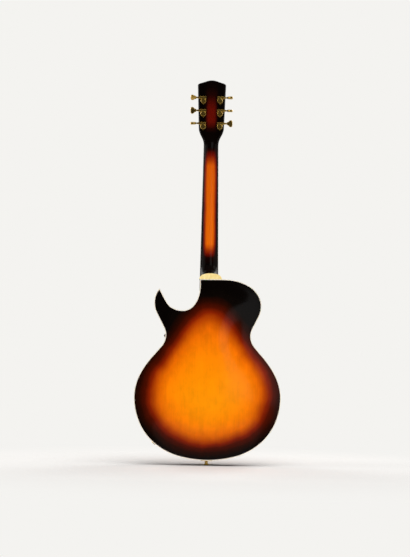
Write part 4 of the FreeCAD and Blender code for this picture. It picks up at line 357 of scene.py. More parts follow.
def mottle(tree, place, sizes, detail=3.0):
    """Soft uneven patches of these sizes along X, Y and Z, in millimetres."""
    scales = [1 / (size * MM) for size in sizes]
    scaled = add(tree, "VectorMath", {0: place, 1: scales}, operation="MULTIPLY")
    return add(tree, "TexNoise", {"Vector": scaled, "Scale": 1.0, "Detail": detail}, out="Fac")


def shaded(tree, colour, pattern, strength):
    """The colour made a little lighter and darker by a pattern."""
    level = add(tree, "MapRange", {"Value": pattern, "From Min": SHADE_LOW, "From Max": SHADE_HIGH,
                                   "To Min": 1.0 - strength, "To Max": 1.0 + strength})
    return add(tree, "VectorMath", {0: colour, "Scale": level}, operation="SCALE")


def figured(tree, finish, colour, *figures):
    """The colour with each pattern of the wood in it, by that pattern's share of the grain setting."""
    for pattern, share in figures:
        colour = shaded(tree, colour, pattern, finish.grain * share)
    return colour


def toned(tree, pattern, stops, rough):
    """A colour and a roughness that follow one pattern, from its low places to its high ones."""
    colour = add(tree, "ValToRGB", {"Fac": pattern}, stops=stops)
    level = add(tree, "MapRange", {"Value": pattern, "From Min": TONE_LOW, "From Max": TONE_HIGH,
                                   "To Min": rough[0], "To Max": rough[1]})
    return {"Base Color": colour, "Roughness": level}


def lacquered(tree, finish, colour, relief, rough):
    """Ends a sprayed wood: its colour, a relief that is just felt, and the clear lacquer over them."""
    inputs = {"Base Color": colour, "Roughness": rough, "IOR": LACQUERED_WOOD_IOR,
              "Coat Weight": finish.coat, "Coat Roughness": finish.gloss}
    end_material(tree, inputs, relief, depth=0.1)


def wave_scale(spacing):
    """The scale at which a wave texture's bands lie this far apart."""
    return math.pi / (10 * spacing)


def shown(tree):
    """One for rays from the camera, and for those that gloss and glass send on into the room."""
    path = add(tree, "LightPath").node.outputs
    seen = add(tree, "Math", {0: path["Is Camera Ray"], 1: path["Is Glossy Ray"]}, operation="MAXIMUM")
    return add(tree, "Math", {0: seen, 1: path["Is Transmission Ray"]}, operation="MAXIMUM")


def spray_distance(tree, place, low, high, low_radius, high_radius, squeeze_share):
    """How far a place lies outside a pear: a large circle below, a small one above and their tangents."""
    lean = (low_radius - high_radius) / (high - low)
    slope = lean / math.sqrt(1 - lean * lean)
    parts = add(tree, "SeparateXYZ", {"Vector": place}).node.outputs
    side = add(tree, "Math", {0: parts["X"]}, operation="ABSOLUTE")
    across = add(tree, "Math", {0: side, 1: squeeze_share}, operation="MULTIPLY")
    up = add(tree, "Math", {0: parts["Z"], 1: low}, operation="SUBTRACT")
    foot = add(tree, "Math", {0: across, 1: -slope, 2: up}, operation="MULTIPLY_ADD")
    foot = add(tree, "Clamp", {"Value": foot, "Min": 0.0, "Max": high - low})
    over = add(tree, "Math", {0: up, 1: foot}, operation="SUBTRACT")
    flat = add(tree, "CombineXYZ", {"X": across, "Y": over})
    away = add(tree, "VectorMath", {0: flat}, out="Value", operation="LENGTH")
    grown = add(tree, "Math", {0: foot, 1: lean, 2: away}, operation="MULTIPLY_ADD")
    return add(tree, "Math", {0: grown, 1: low_radius}, operation="SUBTRACT")


# Materials

def sprayed_maple_back(finish, field_colour):
    """Maple, stained amber and sprayed from red-brown to black round the edge, under old clear lacquer."""
    material, tree, place = start_material("sprayed_maple_back")
    # The clear field sits a little to the bass side, and the hand-held gun leaves a soft, uneven border.
    field = add(tree, "VectorMath", {0: place, 1: (BACK_FIELD_SHIFT, 0.0, 0.0)}, operation="SUBTRACT")
    away = spray_distance(tree, field, **BACK_FIELD)
    drift = mottle(tree, place, BACK_SPRAY, detail=2.0)
    soft = add(tree, "Math", {0: drift, 1: BACK_DRIFT, 2: away}, operation="MULTIPLY_ADD")
    border = add(tree, "MapRange", {"Value": soft, "From Min": BACK_BORDER_START,
                                    "From Max": BACK_BORDER_END})
    # The clear field reddens and darkens slowly up the back.
    parts = add(tree, "SeparateXYZ", {"Vector": place}).node.outputs
    upper = add(tree, "MapRange", {"Value": parts["Z"], "From Min": BACK_RED_START,
                                   "From Max": BACK_RED_END, "To Max": BACK_RED_SHARE})
    depth = add(tree, "Math", {0: border, 1: upper, 2: BACK_BLEND_SHARE}, operation="SMOOTH_MAX")
    burst = add(tree, "ValToRGB", {"Fac": depth}, stops=(
        (0.0, field_colour), (0.24, "FE8E02"), (0.405, "F98003"), (0.525, "E46A03"), (0.61, "B04203"),
        (0.667, "801F02"), (0.724, "4A0E01"), (0.8, "260801"), (0.88, "0A0503"), (1.0, "060302")))
    # Fibres run up the back, with short darker flecks between them and broad soft clouds of figure.
    fibre = mottle(tree, place, MAPLE_FIBRE, detail=4.0)
    fleck = mottle(tree, place, MAPLE_FLECK, detail=2.0)
    cloud = mottle(tree, place, MAPLE_CLOUD)
    colour = figured(tree, finish, burst, (fibre, 0.24), (fleck, 0.2), (cloud, 0.5))
    rub = mottle(tree, place, LACQUER_RUB)
    rough = add(tree, "MapRange", {"Value": rub, "From Min": TONE_LOW, "From Max": TONE_HIGH,
                                   "To Min": 0.34, "To Max": 0.46})
    lacquered(tree, finish, colour, fibre, rough)
    return material


def sprayed_spruce_top(finish, field_colour):
    """Spruce with close straight year lines, sprayed as the back is, with a rounder clear field."""
    material, tree, place = start_material("sprayed_spruce_top")
    away = spray_distance(tree, place, **TOP_FIELD)
    drift = mottle(tree, place, TOP_SPRAY, detail=2.0)
    soft = add(tree, "Math", {0: drift, 1: TOP_DRIFT, 2: away}, operation="MULTIPLY_ADD")
    depth = add(tree, "MapRange", {"Value": soft, "From Min": TOP_BORDER_START, "From Max": TOP_BORDER_END})
    burst = add(tree, "ValToRGB", {"Fac": depth}, stops=(
        (0.0, field_colour), (0.3, "F28F12"), (0.5, "DE7008"), (0.62, "B44A05"), (0.72, "7E2203"),
        (0.8, "430E02"), (0.9, "180603"), (1.0, "080402")))
    # The year lines wander a little along the board.
    bend = mottle(tree, place, YEAR_BEND, detail=1.0)
    wander = add(tree, "CombineXYZ", {"X": bend})
    curved = add(tree, "VectorMath", {0: wander, 1: (YEAR_WANDER, 0.0, 0.0), 2: place},
                 operation="MULTIPLY_ADD")
    lines = {"Vector": curved, "Scale": wave_scale(YEAR_LINE), "Distortion": 1.2, "Detail": 2.0,
             "Detail Scale": 2.0}
    year = add(tree, "TexWave", lines, out="Fac", bands_direction="X", wave_profile="SAW")
    cloud = mottle(tree, place, SPRUCE_CLOUD, detail=2.0)
    colour = figured(tree, finish, burst, (year, 0.45), (cloud, 0.4))
    lacquered(tree, finish, colour, year, rough=0.4)
    return material


def sprayed_maple_rims(finish):
    """Bent maple strips, a red-brown band along the middle and black towards both bindings."""
    material, tree, place = start_material("sprayed_maple_rims")
    parts = add(tree, "SeparateXYZ", {"Vector": place}).node.outputs
    from_middle = add(tree, "Math", {0: parts["Y"]}, operation="ABSOLUTE")
    drift = mottle(tree, place, RIM_SPRAY, detail=2.0)
    soft = add(tree, "Math", {0: drift, 1: RIM_DRIFT, 2: from_middle}, operation="MULTIPLY_ADD")
    high = add(tree, "MapRange", {"Value": parts["Z"], "From Min": RIM_DARK_START,
                                  "From Max": RIM_DARK_END, "To Max": RIM_DARK_SHIFT})
    dark = add(tree, "Math", {0: soft, 1: high}, operation="ADD")
    depth = add(tree, "MapRange", {"Value": dark, "From Max": RIM_HALF_BAND})
    burst = add(tree, "ValToRGB", {"Fac": depth}, stops=(
        (0.0, "A4420A"), (0.3, "8C3006"), (0.52, "571603"), (0.72, "250802"), (0.88, "0E0502"),
        (1.0, "070402")))
    fibre = mottle(tree, place, RIM_FIBRE, detail=4.0)
    flame = mottle(tree, place, RIM_FLAME, detail=2.0)
    colour = figured(tree, finish, burst, (fibre, 0.6), (flame, 0.6))
    lacquered(tree, finish, colour, fibre, rough=0.4)
    return material


def sprayed_neck(finish, stripe_colour):
    """An orange stripe up the back of the neck, black at its edges, heel and nut, dark red on the head."""
    material, tree, place = start_material("sprayed_mahogany_neck")
    parts = add(tree, "SeparateXYZ", {"Vector": place}).node.outputs
    side = add(tree, "Math", {0: parts["X"]}, operation="ABSOLUTE")
    drift = mottle(tree, place, NECK_SPRAY, detail=2.0)
    side = add(tree, "Math", {0: drift, 1: NECK_DRIFT, 2: side}, operation="MULTIPLY_ADD")
    stripe = add(tree, "MapRange", {"Value": side, "From Min": NECK_STRIPE_EDGE,
                                    "From Max": NECK_STRIPE_CORE}, interpolation_type="SMOOTHSTEP")
    along = add(tree, "MapRange", {"Value": parts["Z"], "From Min": NECK_RUN_START,
                                   "From Max": NECK_RUN_END})
    run = add(tree, "ValToRGB", {"Fac": along}, stops=(
        (0.04, "000000"), (0.072, "404040"), (0.11, "C0C0C0"), (0.145, "FFFFFF"), (0.55, "F0F0F0"),
        (0.6, "A0A0A0"), (0.645, "000000"), (0.72, "101010"), (0.775, "909090"), (0.83, "909090"),
        (0.88, "6C6C6C"), (0.94, "202020"), (0.98, "000000")))
    clear = add(tree, "Math", {0: stripe, 1: run}, operation="MULTIPLY")
    burst = add(tree, "ValToRGB", {"Fac": clear}, stops=(
        (0.0, "080302"), (0.1, "220401"), (0.3, "6E0F02"), (0.55, "A03203"), (0.8, "D05404"),
        (1.0, stripe_colour)))
    fibre = mottle(tree, place, NECK_FIBRE, detail=4.0)
    lacquered(tree, finish, figured(tree, finish, burst, (fibre, 0.5)), fibre, rough=0.38)
    return material


def black_lacquer(finish):
    """Black lacquer polished flat: deep, with a faint haze of old polishing."""
    material, tree, place = start_material("polished_black_lacquer")
    haze = mottle(tree, place, POLISH_HAZE, detail=4.0)
    inputs = toned(tree, haze, ((0.3, "050404"), (0.7, "0D0B0A")), rough=(0.08, 0.2))
    inputs.update({"Specular IOR Level": 0.2, "Coat Weight": finish.coat, "Coat Roughness": finish.gloss})
    end_material(tree, inputs)
    return material


def celluloid(name, pale, deep):
    """Celluloid gone yellow with age: faint clouds in it and a soft waxy gloss."""
    material, tree, place = start_material(name)
    cloud = mottle(tree, place, CELLULOID_CLOUD, detail=4.0)
    fine = mottle(tree, place, CELLULOID_SKIN, detail=2.0)
    inputs = toned(tree, cloud, ((0.3, deep), (0.7, pale)), rough=(0.22, 0.36))
    inputs.update({"Subsurface Weight": 0.08, "Subsurface Radius": (3 * MM, 2 * MM, 1 * MM)})
    end_material(tree, inputs, fine, depth=0.05)
    return material


def raw_spruce():
    """Unfinished wood inside the body: pale, dry, with plain fibres."""
    material, tree, place = start_material("sawn_raw_spruce")
    fibre = mottle(tree, place, RAW_FIBRE, detail=4.0)
    inputs = toned(tree, fibre, ((0.3, "A9814F"), (0.7, "D2AE7C")), rough=(0.6, 0.8))
    end_material(tree, inputs, fibre, depth=0.2, strength=0.3)
    return material


def oiled_rosewood():
    """Oiled rosewood: near black with brown streaks and open pores that catch little light."""
    material, tree, place = start_material("oiled_rosewood")
    streak = mottle(tree, place, ROSEWOOD_STREAK, detail=4.0)
    pore = mottle(tree, place, ROSEWOOD_PORE, detail=2.0)
    stops = ((0.3, "1A0D08"), (0.5, "2C1710"), (0.72, "45261A"))
    inputs = toned(tree, streak, stops, rough=(0.56, 0.44))
    inputs["Base Color"] = shaded(tree, inputs["Base Color"], pore, strength=0.3)
    end_material(tree, inputs, pore, depth=0.12, strength=0.35)
    return material


def cut_pearl():
    """Shell cut thin and let into the wood: pale bands that drift between pink, green and grey."""
    material, tree, place = start_material("cut_mother_of_pearl")
    band = mottle(tree, place, PEARL_BAND, detail=4.0)
    stops = ((0.28, "B9C4C2"), (0.42, "EDE8DC"), (0.52, "E3CFD0"), (0.62, "D3E2DA"), (0.75, "F4F0E6"))
    inputs = toned(tree, band, stops, rough=(0.16, 0.3))
    inputs.update({"Coat Weight": 0.6, "Coat Roughness": 0.12})
    end_material(tree, inputs)
    return material


def carved_bone():
    """Bone filed to shape: warm white with fine lines and a low polish."""
    material, tree, place = start_material("filed_bone")
    line = mottle(tree, place, BONE_LINE)
    inputs = toned(tree, line, ((0.3, "D8CBAE"), (0.7, "F1E9D6")), rough=(0.45, 0.32))
    inputs.update({"Subsurface Weight": 0.1, "Subsurface Radius": (2 * MM, 1.5 * MM, 1 * MM)})
    end_material(tree, inputs)
    return material


def plated_gold(finish):
    """Gold plate on cast zinc, decades old: bright in handled patches, duller and browner between."""
    material, tree, place = start_material("worn_gold_plate")
    wear = mottle(tree, place, PLATING_WEAR, detail=2.0)
    grit = mottle(tree, place, PLATING_GRIT, detail=2.0)
    stops = ((0.25, "9E7F38"), (0.5, "B39244"), (0.75, "C6A757"))
    inputs = toned(tree, wear, stops, rough=(finish.tarnish, 0.2))
    inputs["Metallic"] = 1.0
    end_material(tree, inputs, grit, depth=0.05)
    return material


def rolled_steel(name, dark, pale):
    """Bright steel or nickel silver: fine rolling lines and a clean reflection."""
    material, tree, place = start_material(name)
    line = mottle(tree, place, ROLLING_LINE)
    inputs = toned(tree, line, ((0.3, dark), (0.7, pale)), rough=(0.32, 0.18))
    inputs["Metallic"] = 1.0
    end_material(tree, inputs)
    return material


def wound_strings():
    """Steel strings: the three on the bass side are wound with fine nickel wire, the others plain."""
    material, tree, place = start_material("wound_and_plain_steel")
    parts = add(tree, "SeparateXYZ", {"Vector": place}).node.outputs
    bass = add(tree, "MapRange", {"Value": parts["X"], "From Min": -MIDDLE_HALF_GAP,
                                  "From Max": MIDDLE_HALF_GAP})
    # The real wire is about 0.3 mm thick, and is drawn coarser so that its turns show.
    turns = add(tree, "TexWave", {"Vector": place, "Scale": wave_scale(WOUND_WIRE)}, out="Fac",
                bands_direction="Z")
    height = add(tree, "Math", {0: turns, 1: bass}, operation="MULTIPLY")
    tint = add(tree, "ValToRGB", {"Fac": bass}, stops=((0.0, "D8D8D6"), (1.0, "C4B8A2")))
    rough = add(tree, "MapRange", {"Value": bass, "To Min": 0.2, "To Max": 0.36})
    # The colour is painted lighter on each turn's crest and darker in the groove between turns: painted
    # shade of the round wire.
    colour = shaded(tree, tint, height, strength=0.2)
    inputs = {"Base Color": colour, "Metallic": 1.0, "Roughness": rough}
    end_material(tree, inputs, height, depth=0.15, strength=0.5)
    return material


def pressed_plastic(name, dark, pale, rough):
    """Moulded or sheet plastic: an even colour with handling marks that only the gloss shows."""
    material, tree, place = start_material(name)
    rub = mottle(tree, place, PLASTIC_RUB, detail=5.0)
    fine = mottle(tree, place, PLASTIC_SKIN, detail=2.0)
    inputs = toned(tree, rub, ((0.3, dark), (0.7, pale)), rough)
    end_material(tree, inputs, fine, depth=0.05, strength=0.03)
    return material


def amber_acrylic(pale, deep):
    """Clear amber acrylic over a gold back: light goes in and comes back warm."""
    material, tree, place = start_material("cast_amber_acrylic")
    cloud = mottle(tree, place, ACRYLIC_CLOUD)
    inputs = toned(tree, cloud, ((0.3, deep), (0.7, pale)), rough=(0.1, 0.18))
    inputs.update({"Subsurface Weight": 0.15, "Subsurface Radius": (6 * MM, 3 * MM, 1 * MM),
                   "Coat Weight": 0.3, "Coat Roughness": 0.05})
    end_material(tree, inputs)
    return material


# Pieces

def paint(names, material):
    """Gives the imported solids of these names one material."""
    for name in names:
        slots = frame["nodes"][name].data.materials
        slots.clear()
        slots.append(material)


def place_piece(name, builder, materials, body, replaced=()):
    """A new piece from a built mesh: smooth over soft edges, and riding on its body if it has only one."""
    mesh = bpy.data.meshes.new(name)
    bmesh.ops.recalc_face_normals(builder, faces=builder.faces)
    for edge in builder.edges:
        edge.smooth = edge.calc_face_angle(0.0) < SOFT_EDGE
    for face in builder.faces:
        face.smooth = True
    builder.to_mesh(mesh)
    builder.free()
    for material in materials:
        mesh.materials.append(material)
    piece = bpy.data.objects.new(name, mesh)
    bpy.context.scene.collection.objects.link(piece)
    if replaced:
        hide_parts(*replaced)
    if body:
        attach(piece, body)
    return piece


def joint_frame(name):
    """A turning piece's own frame: Z out of the front along the joint's axis, at the joint's place."""
    joint = JOINTS[name]
    axis = Vector(joint["axis"])
    if axis.y < 0:
        axis.negate()
    return Matrix.Translation(Vector(joint["pos_m"])) @ axis.to_track_quat("Z", "Y").to_matrix().to_4x4()


def turned(profile, steps):
    """A bmesh of (radius, height) points spun about Z. The profile is closed unless it ends on the axis."""
    builder = bmesh.new()
    points = [builder.verts.new((radius, 0.0, height)) for radius, height in profile]
    edges = [builder.edges.new(pair) for pair in zip(points, points[1:])]
    if profile[-1][0]:
        edges.append(builder.edges.new((points[-1], points[0])))
    bmesh.ops.spin(builder, geom=points + edges, cent=ORIGIN, axis=UP, angle=2 * math.pi, steps=steps,
                   use_merge=True)
    bmesh.ops.remove_doubles(builder, verts=builder.verts, dist=MERGE_DISTANCE)
    return builder


def cut_grip(builder, steps, radius, depth):
    """Sinks every second face of a turned piece's tall outer wall, for the fingers."""
    bmesh.ops.recalc_face_normals(builder, faces=builder.faces)
    wall = []
    for face in builder.faces:
        middle = face.calc_center_median()
        turn = math.floor(math.atan2(middle.y, middle.x) / (2 * math.pi) * steps)
        if middle.xy.length > radius and abs(face.normal.z) < GRIP_WALL_TILT and turn % 2:
            wall.append(face)
    tallest = max(face.calc_area() for face in wall)
    wall = [face for face in wall if face.calc_area() > tallest / 2]
    bmesh.ops.inset_individual(builder, faces=wall, thickness=GRIP_EDGE, depth=-depth, use_even_offset=True)


def node_copy(name):
    """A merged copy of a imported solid's mesh, ready to be cut."""
    builder = bmesh.new()
    builder.from_mesh(frame["nodes"][name].data)
    bmesh.ops.remove_doubles(builder, verts=builder.verts, dist=MERGE_DISTANCE)
    return builder


def cut_level(builder, height, below=False, above=False):
    """Cuts a mesh at a height, and takes away what lies below or above the cut."""
    everything = builder.verts[:] + builder.edges[:] + builder.faces[:]
    bmesh.ops.bisect_plane(builder, geom=everything, plane_co=(0.0, 0.0, height), plane_no=UP,
                           clear_inner=below, clear_outer=above)


def close_ends(builder):
    """Puts a face over each open end."""
    bmesh.ops.holes_fill(builder, edges=[edge for edge in builder.edges if edge.is_boundary])


def corners(items):
    """The vertices among what an operator gives back."""
    return [item for item in items if isinstance(item, bmesh.types.BMVert)]


class ARCHTOP_OT_body(Operator):
    """Lacquers the plates and rims and finishes the bindings and the wood inside"""
    bl_idname = "archtop.body"
    bl_label = "Finish the body"

    def execute(self, context):
        finish = context.scene.archtop_finish
        colours = context.scene.archtop_colours
        paint(["back_plate"], sprayed_maple_back(finish, colours.back_field))
        paint(["top_plate"], sprayed_spruce_top(finish, colours.top_field))
        paint(RIM_NODES, sprayed_maple_rims(finish))
        paint(BINDING_NODES, celluloid("aged_binding_celluloid", colours.binding, colours.binding_cloud))
        paint(["heel_cap"], celluloid("yellowed_cap_celluloid", colours.cap, colours.cap_cloud))
        paint(INSIDE_NODES, raw_spruce())
        return {"FINISHED"}


class ARCHTOP_OT_neck(Operator):
    """Finishes the neck, headstock, fingerboard and nut, and the dark wood, steel and black plastic"""
    bl_idname = "archtop.neck"
    bl_label = "Finish the neck"

    def execute(self, context):
        finish = context.scene.archtop_finish
        paint(["neck"], sprayed_neck(finish, context.scene.archtop_colours.neck_stripe))
        paint(["headstock_facing"], black_lacquer(finish))
        paint(DARK_WOOD_NODES, oiled_rosewood())
        paint(["fingerboard_inlays"], cut_pearl())
        paint(["frets"], rolled_steel("drawn_nickel_silver", "B4AC9C", "DAD4C6"))
        paint(["nut"], carved_bone())
        paint(STEEL_NODES, rolled_steel("plated_steel", "8C8E90", "B8BABC"))
        black = pressed_plastic("moulded_black_plastic", "070707", "141312", rough=(0.2, 0.34))
        paint(BLACK_PLASTIC_NODES, black)
        return {"FINISHED"}


class ARCHTOP_OT_metal(Operator):
    """Plates the tuners, tailpiece and fittings, and makes the thumbwheels and slotted pole screws"""
    bl_idname = "archtop.metal"
    bl_label = "Plate the fittings"

    def execute(self, context):
        gold = plated_gold(context.scene.archtop_finish)
        numbers = range(1, len(WIRE_RADII) + 1)
        keys = ["tuner_key_%d" % number for number in numbers]
        posts = ["tuner_post_%d" % number for number in numbers]
        paint(list(TUNER_NODES) + list(TAIL_NODES) + list(FITTING_NODES) + keys + posts, gold)
        for side in ("bass", "treble"):
            self.thumbwheel("thumbwheel_" + side, gold, context.scene.archtop_parts.wheel_flute)
        self.pole_screws(gold)
        return {"FINISHED"}

    def thumbwheel(self, name, gold, depth):
        """A wheel with a bore, soft corners and notches round its rim."""
        low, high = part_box(name)
        half = (high.y - low.y) / 2
        rim = (high.x - low.x) / 2
        inner = rim - WHEEL_EDGE
        profile = [(WHEEL_BORE, -half), (inner, -half), (rim, WHEEL_EDGE - half), (rim, half - WHEEL_EDGE),
                   (inner, half), (WHEEL_BORE, half)]
        builder = turned(profile, WHEEL_STEPS)
        cut_grip(builder, WHEEL_STEPS, inner, depth)
        builder.transform(Matrix.Translation((low + high) / 2) @ Matrix.Rotation(-math.pi / 2, 4, "X"))
        place_piece("knurled_" + name, builder, [gold], name, [name])

    def pole_screws(self, gold):
        """The pickups' pole screws, with a slot across each head."""
        builder = node_copy("pickup_pole_screws")
        low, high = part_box("pickup_pole_screws")
        for row in (low.z + POLE_RADIUS, high.z - POLE_RADIUS):
            for side in (row - POLE_SLOT / 2, row + POLE_SLOT / 2):
                cut_level(builder, side)
            strips = [face for face in builder.faces if face.normal.y > POLE_TOP_FACING
                      and abs(face.calc_center_median().z - row) < POLE_SLOT / 2]
            sunk = bmesh.ops.extrude_face_region(builder, geom=strips)["geom"]
            bmesh.ops.delete(builder, geom=[face for face in strips if face.is_valid], context="FACES_ONLY")
            bmesh.ops.translate(builder, verts=corners(sunk), vec=(0.0, -POLE_SLOT_DEPTH, 0.0))
        place_piece("slotted_pole_screws", builder, [gold], ROOT, ["pickup_pole_screws"])


class ARCHTOP_OT_strings(Operator):
    """Parts the strings at the saddle and behind it, and winds their ends round the posts"""
    bl_idname = "archtop.strings"
    bl_label = "Fit the strings"

    def execute(self, context):
        steel = wound_strings()
        saddle_low, saddle_high = [corner.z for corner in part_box("bridge_saddle")]
        lowest, highest = [corner.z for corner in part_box("strings")]
        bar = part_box("tailpiece_trapeze")[1].z
        cut = (saddle_low + saddle_high) / 2
        behind = (saddle_low + bar) / 2
        # In front of the saddle they also get a ring between the pickups, where a lowered saddle would need
        # them to bend to stay clear.
        pickups = sum(corner.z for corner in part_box("pickup_covers")) / 2
        past_nut = highest + STRING_OVERRUN
        front = self.stretch("strings_speaking", steel, cut, past_nut, (saddle_high, pickups))
        back = self.stretch("strings_behind_bridge", steel, behind, cut, (saddle_low,))
        anchored = self.stretch("strings_to_tailpiece", steel, lowest - STRING_OVERRUN, behind, (bar,))
        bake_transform(front)
        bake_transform(back)
        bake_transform(anchored)
        for number, wire in enumerate(WIRE_RADII, 1):
            self.winding("tuner_post_%d" % number, wire, steel)
        return {"FINISHED"}

    def stretch(self, name, steel, low, high, bends):
        """The strings between two heights, closed where they are cut, with a ring wherever they bend."""
        builder = node_copy("strings")
        cut_level(builder, low, below=True)
        close_ends(builder)
        cut_level(builder, high, above=True)
        close_ends(builder)
        for bend in bends:
            cut_level(builder, bend)
        bmesh.ops.dissolve_degenerate(builder, dist=SHORTEST_EDGE, edges=builder.edges[:])
        return place_piece(name, builder, [steel], None, ["strings"])

    def winding(self, post, wire, steel):
        """A string's turns in the waist of its post."""
        place = joint_frame(post + "_turn")
        into_post = place.inverted()
        tip = max((into_post @ vert.co).z for vert in frame["nodes"][post].data.vertices)
        height = WIRE_PITCH_SHARE * 2 * wire * WIRE_TURNS
        builder = bmesh.new()
        ring = bmesh.ops.create_circle(builder, segments=WIRE_SIDES, radius=wire)["verts"]
        start = Matrix.Translation((POST_WAIST_RADIUS + wire, 0.0, tip - POST_WAIST_DROP - height / 2))
        bmesh.ops.transform(builder, verts=ring, matrix=start @ Matrix.Rotation(math.pi / 2, 4, "X"))
        steps = WIRE_TURNS * WIRE_STEPS
        bmesh.ops.spin(builder, geom=builder.verts[:] + builder.edges[:], cent=ORIGIN, axis=UP,
                       dvec=(0.0, 0.0, height / steps), angle=2 * math.pi * WIRE_TURNS, steps=steps)
        close_ends(builder)
        builder.transform(place)
        place_piece("winding_" + post, builder, [steel], post)


class ARCHTOP_OT_controls(Operator):
    """Makes the knobs and the switch lever and finishes the pickguard"""
    bl_idname = "archtop.controls"
    bl_label = "Finish the controls"

    def execute(self, context):
        gold = plated_gold(context.scene.archtop_finish)
        colours = context.scene.archtop_colours
        amber = amber_acrylic(colours.knob, colours.knob_cloud)
        depth = context.scene.archtop_parts.knob_flute
        for number in range(1, KNOB_COUNT + 1):
            self.knob("knob_%d" % number, [amber, gold], depth)
        self.lever([gold, pressed_plastic("cast_cream_plastic", "D9C79B", "EBDDB8", rough=(0.2, 0.32))])
        guard = pressed_plastic("sheet_black_celluloid", "080707", "171412", rough=(0.1, 0.22))
        paint(["pickguard"], guard)
        return {"FINISHED"}

    def knob(self, name, materials, depth):
        """Shaft, hollow, skirt, fluted wall and a dished top with a gold disc in it."""
        builder = turned([(radius * MM, height * MM) for radius, height in KNOB_PROFILE], KNOB_STEPS)
        for face in builder.faces:
            middle = face.calc_center_median()
            face.material_index = int(middle.xy.length < KNOB_DISH_RADIUS and middle.z > KNOB_DISH_LOW)
        cut_grip(builder, KNOB_STEPS, KNOB_GRIP_RADIUS, depth)
        builder.transform(joint_frame(name + "_turn"))
        place_piece("fluted_" + name, builder, materials, name, [name])

    def lever(self, materials):
        """The switch lever: a plated stem and a cream tip pressed on it."""
        builder = node_copy("switch_lever")
        low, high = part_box("switch_lever")
        tip = low.y + (high.y - low.y) * LEVER_STEM_SHARE
        for face in builder.faces:
            face.material_index = int(face.calc_center_median().y > tip)
        place_piece("tipped_switch_lever", builder, materials, "switch_lever",
                    ["switch_lever"])


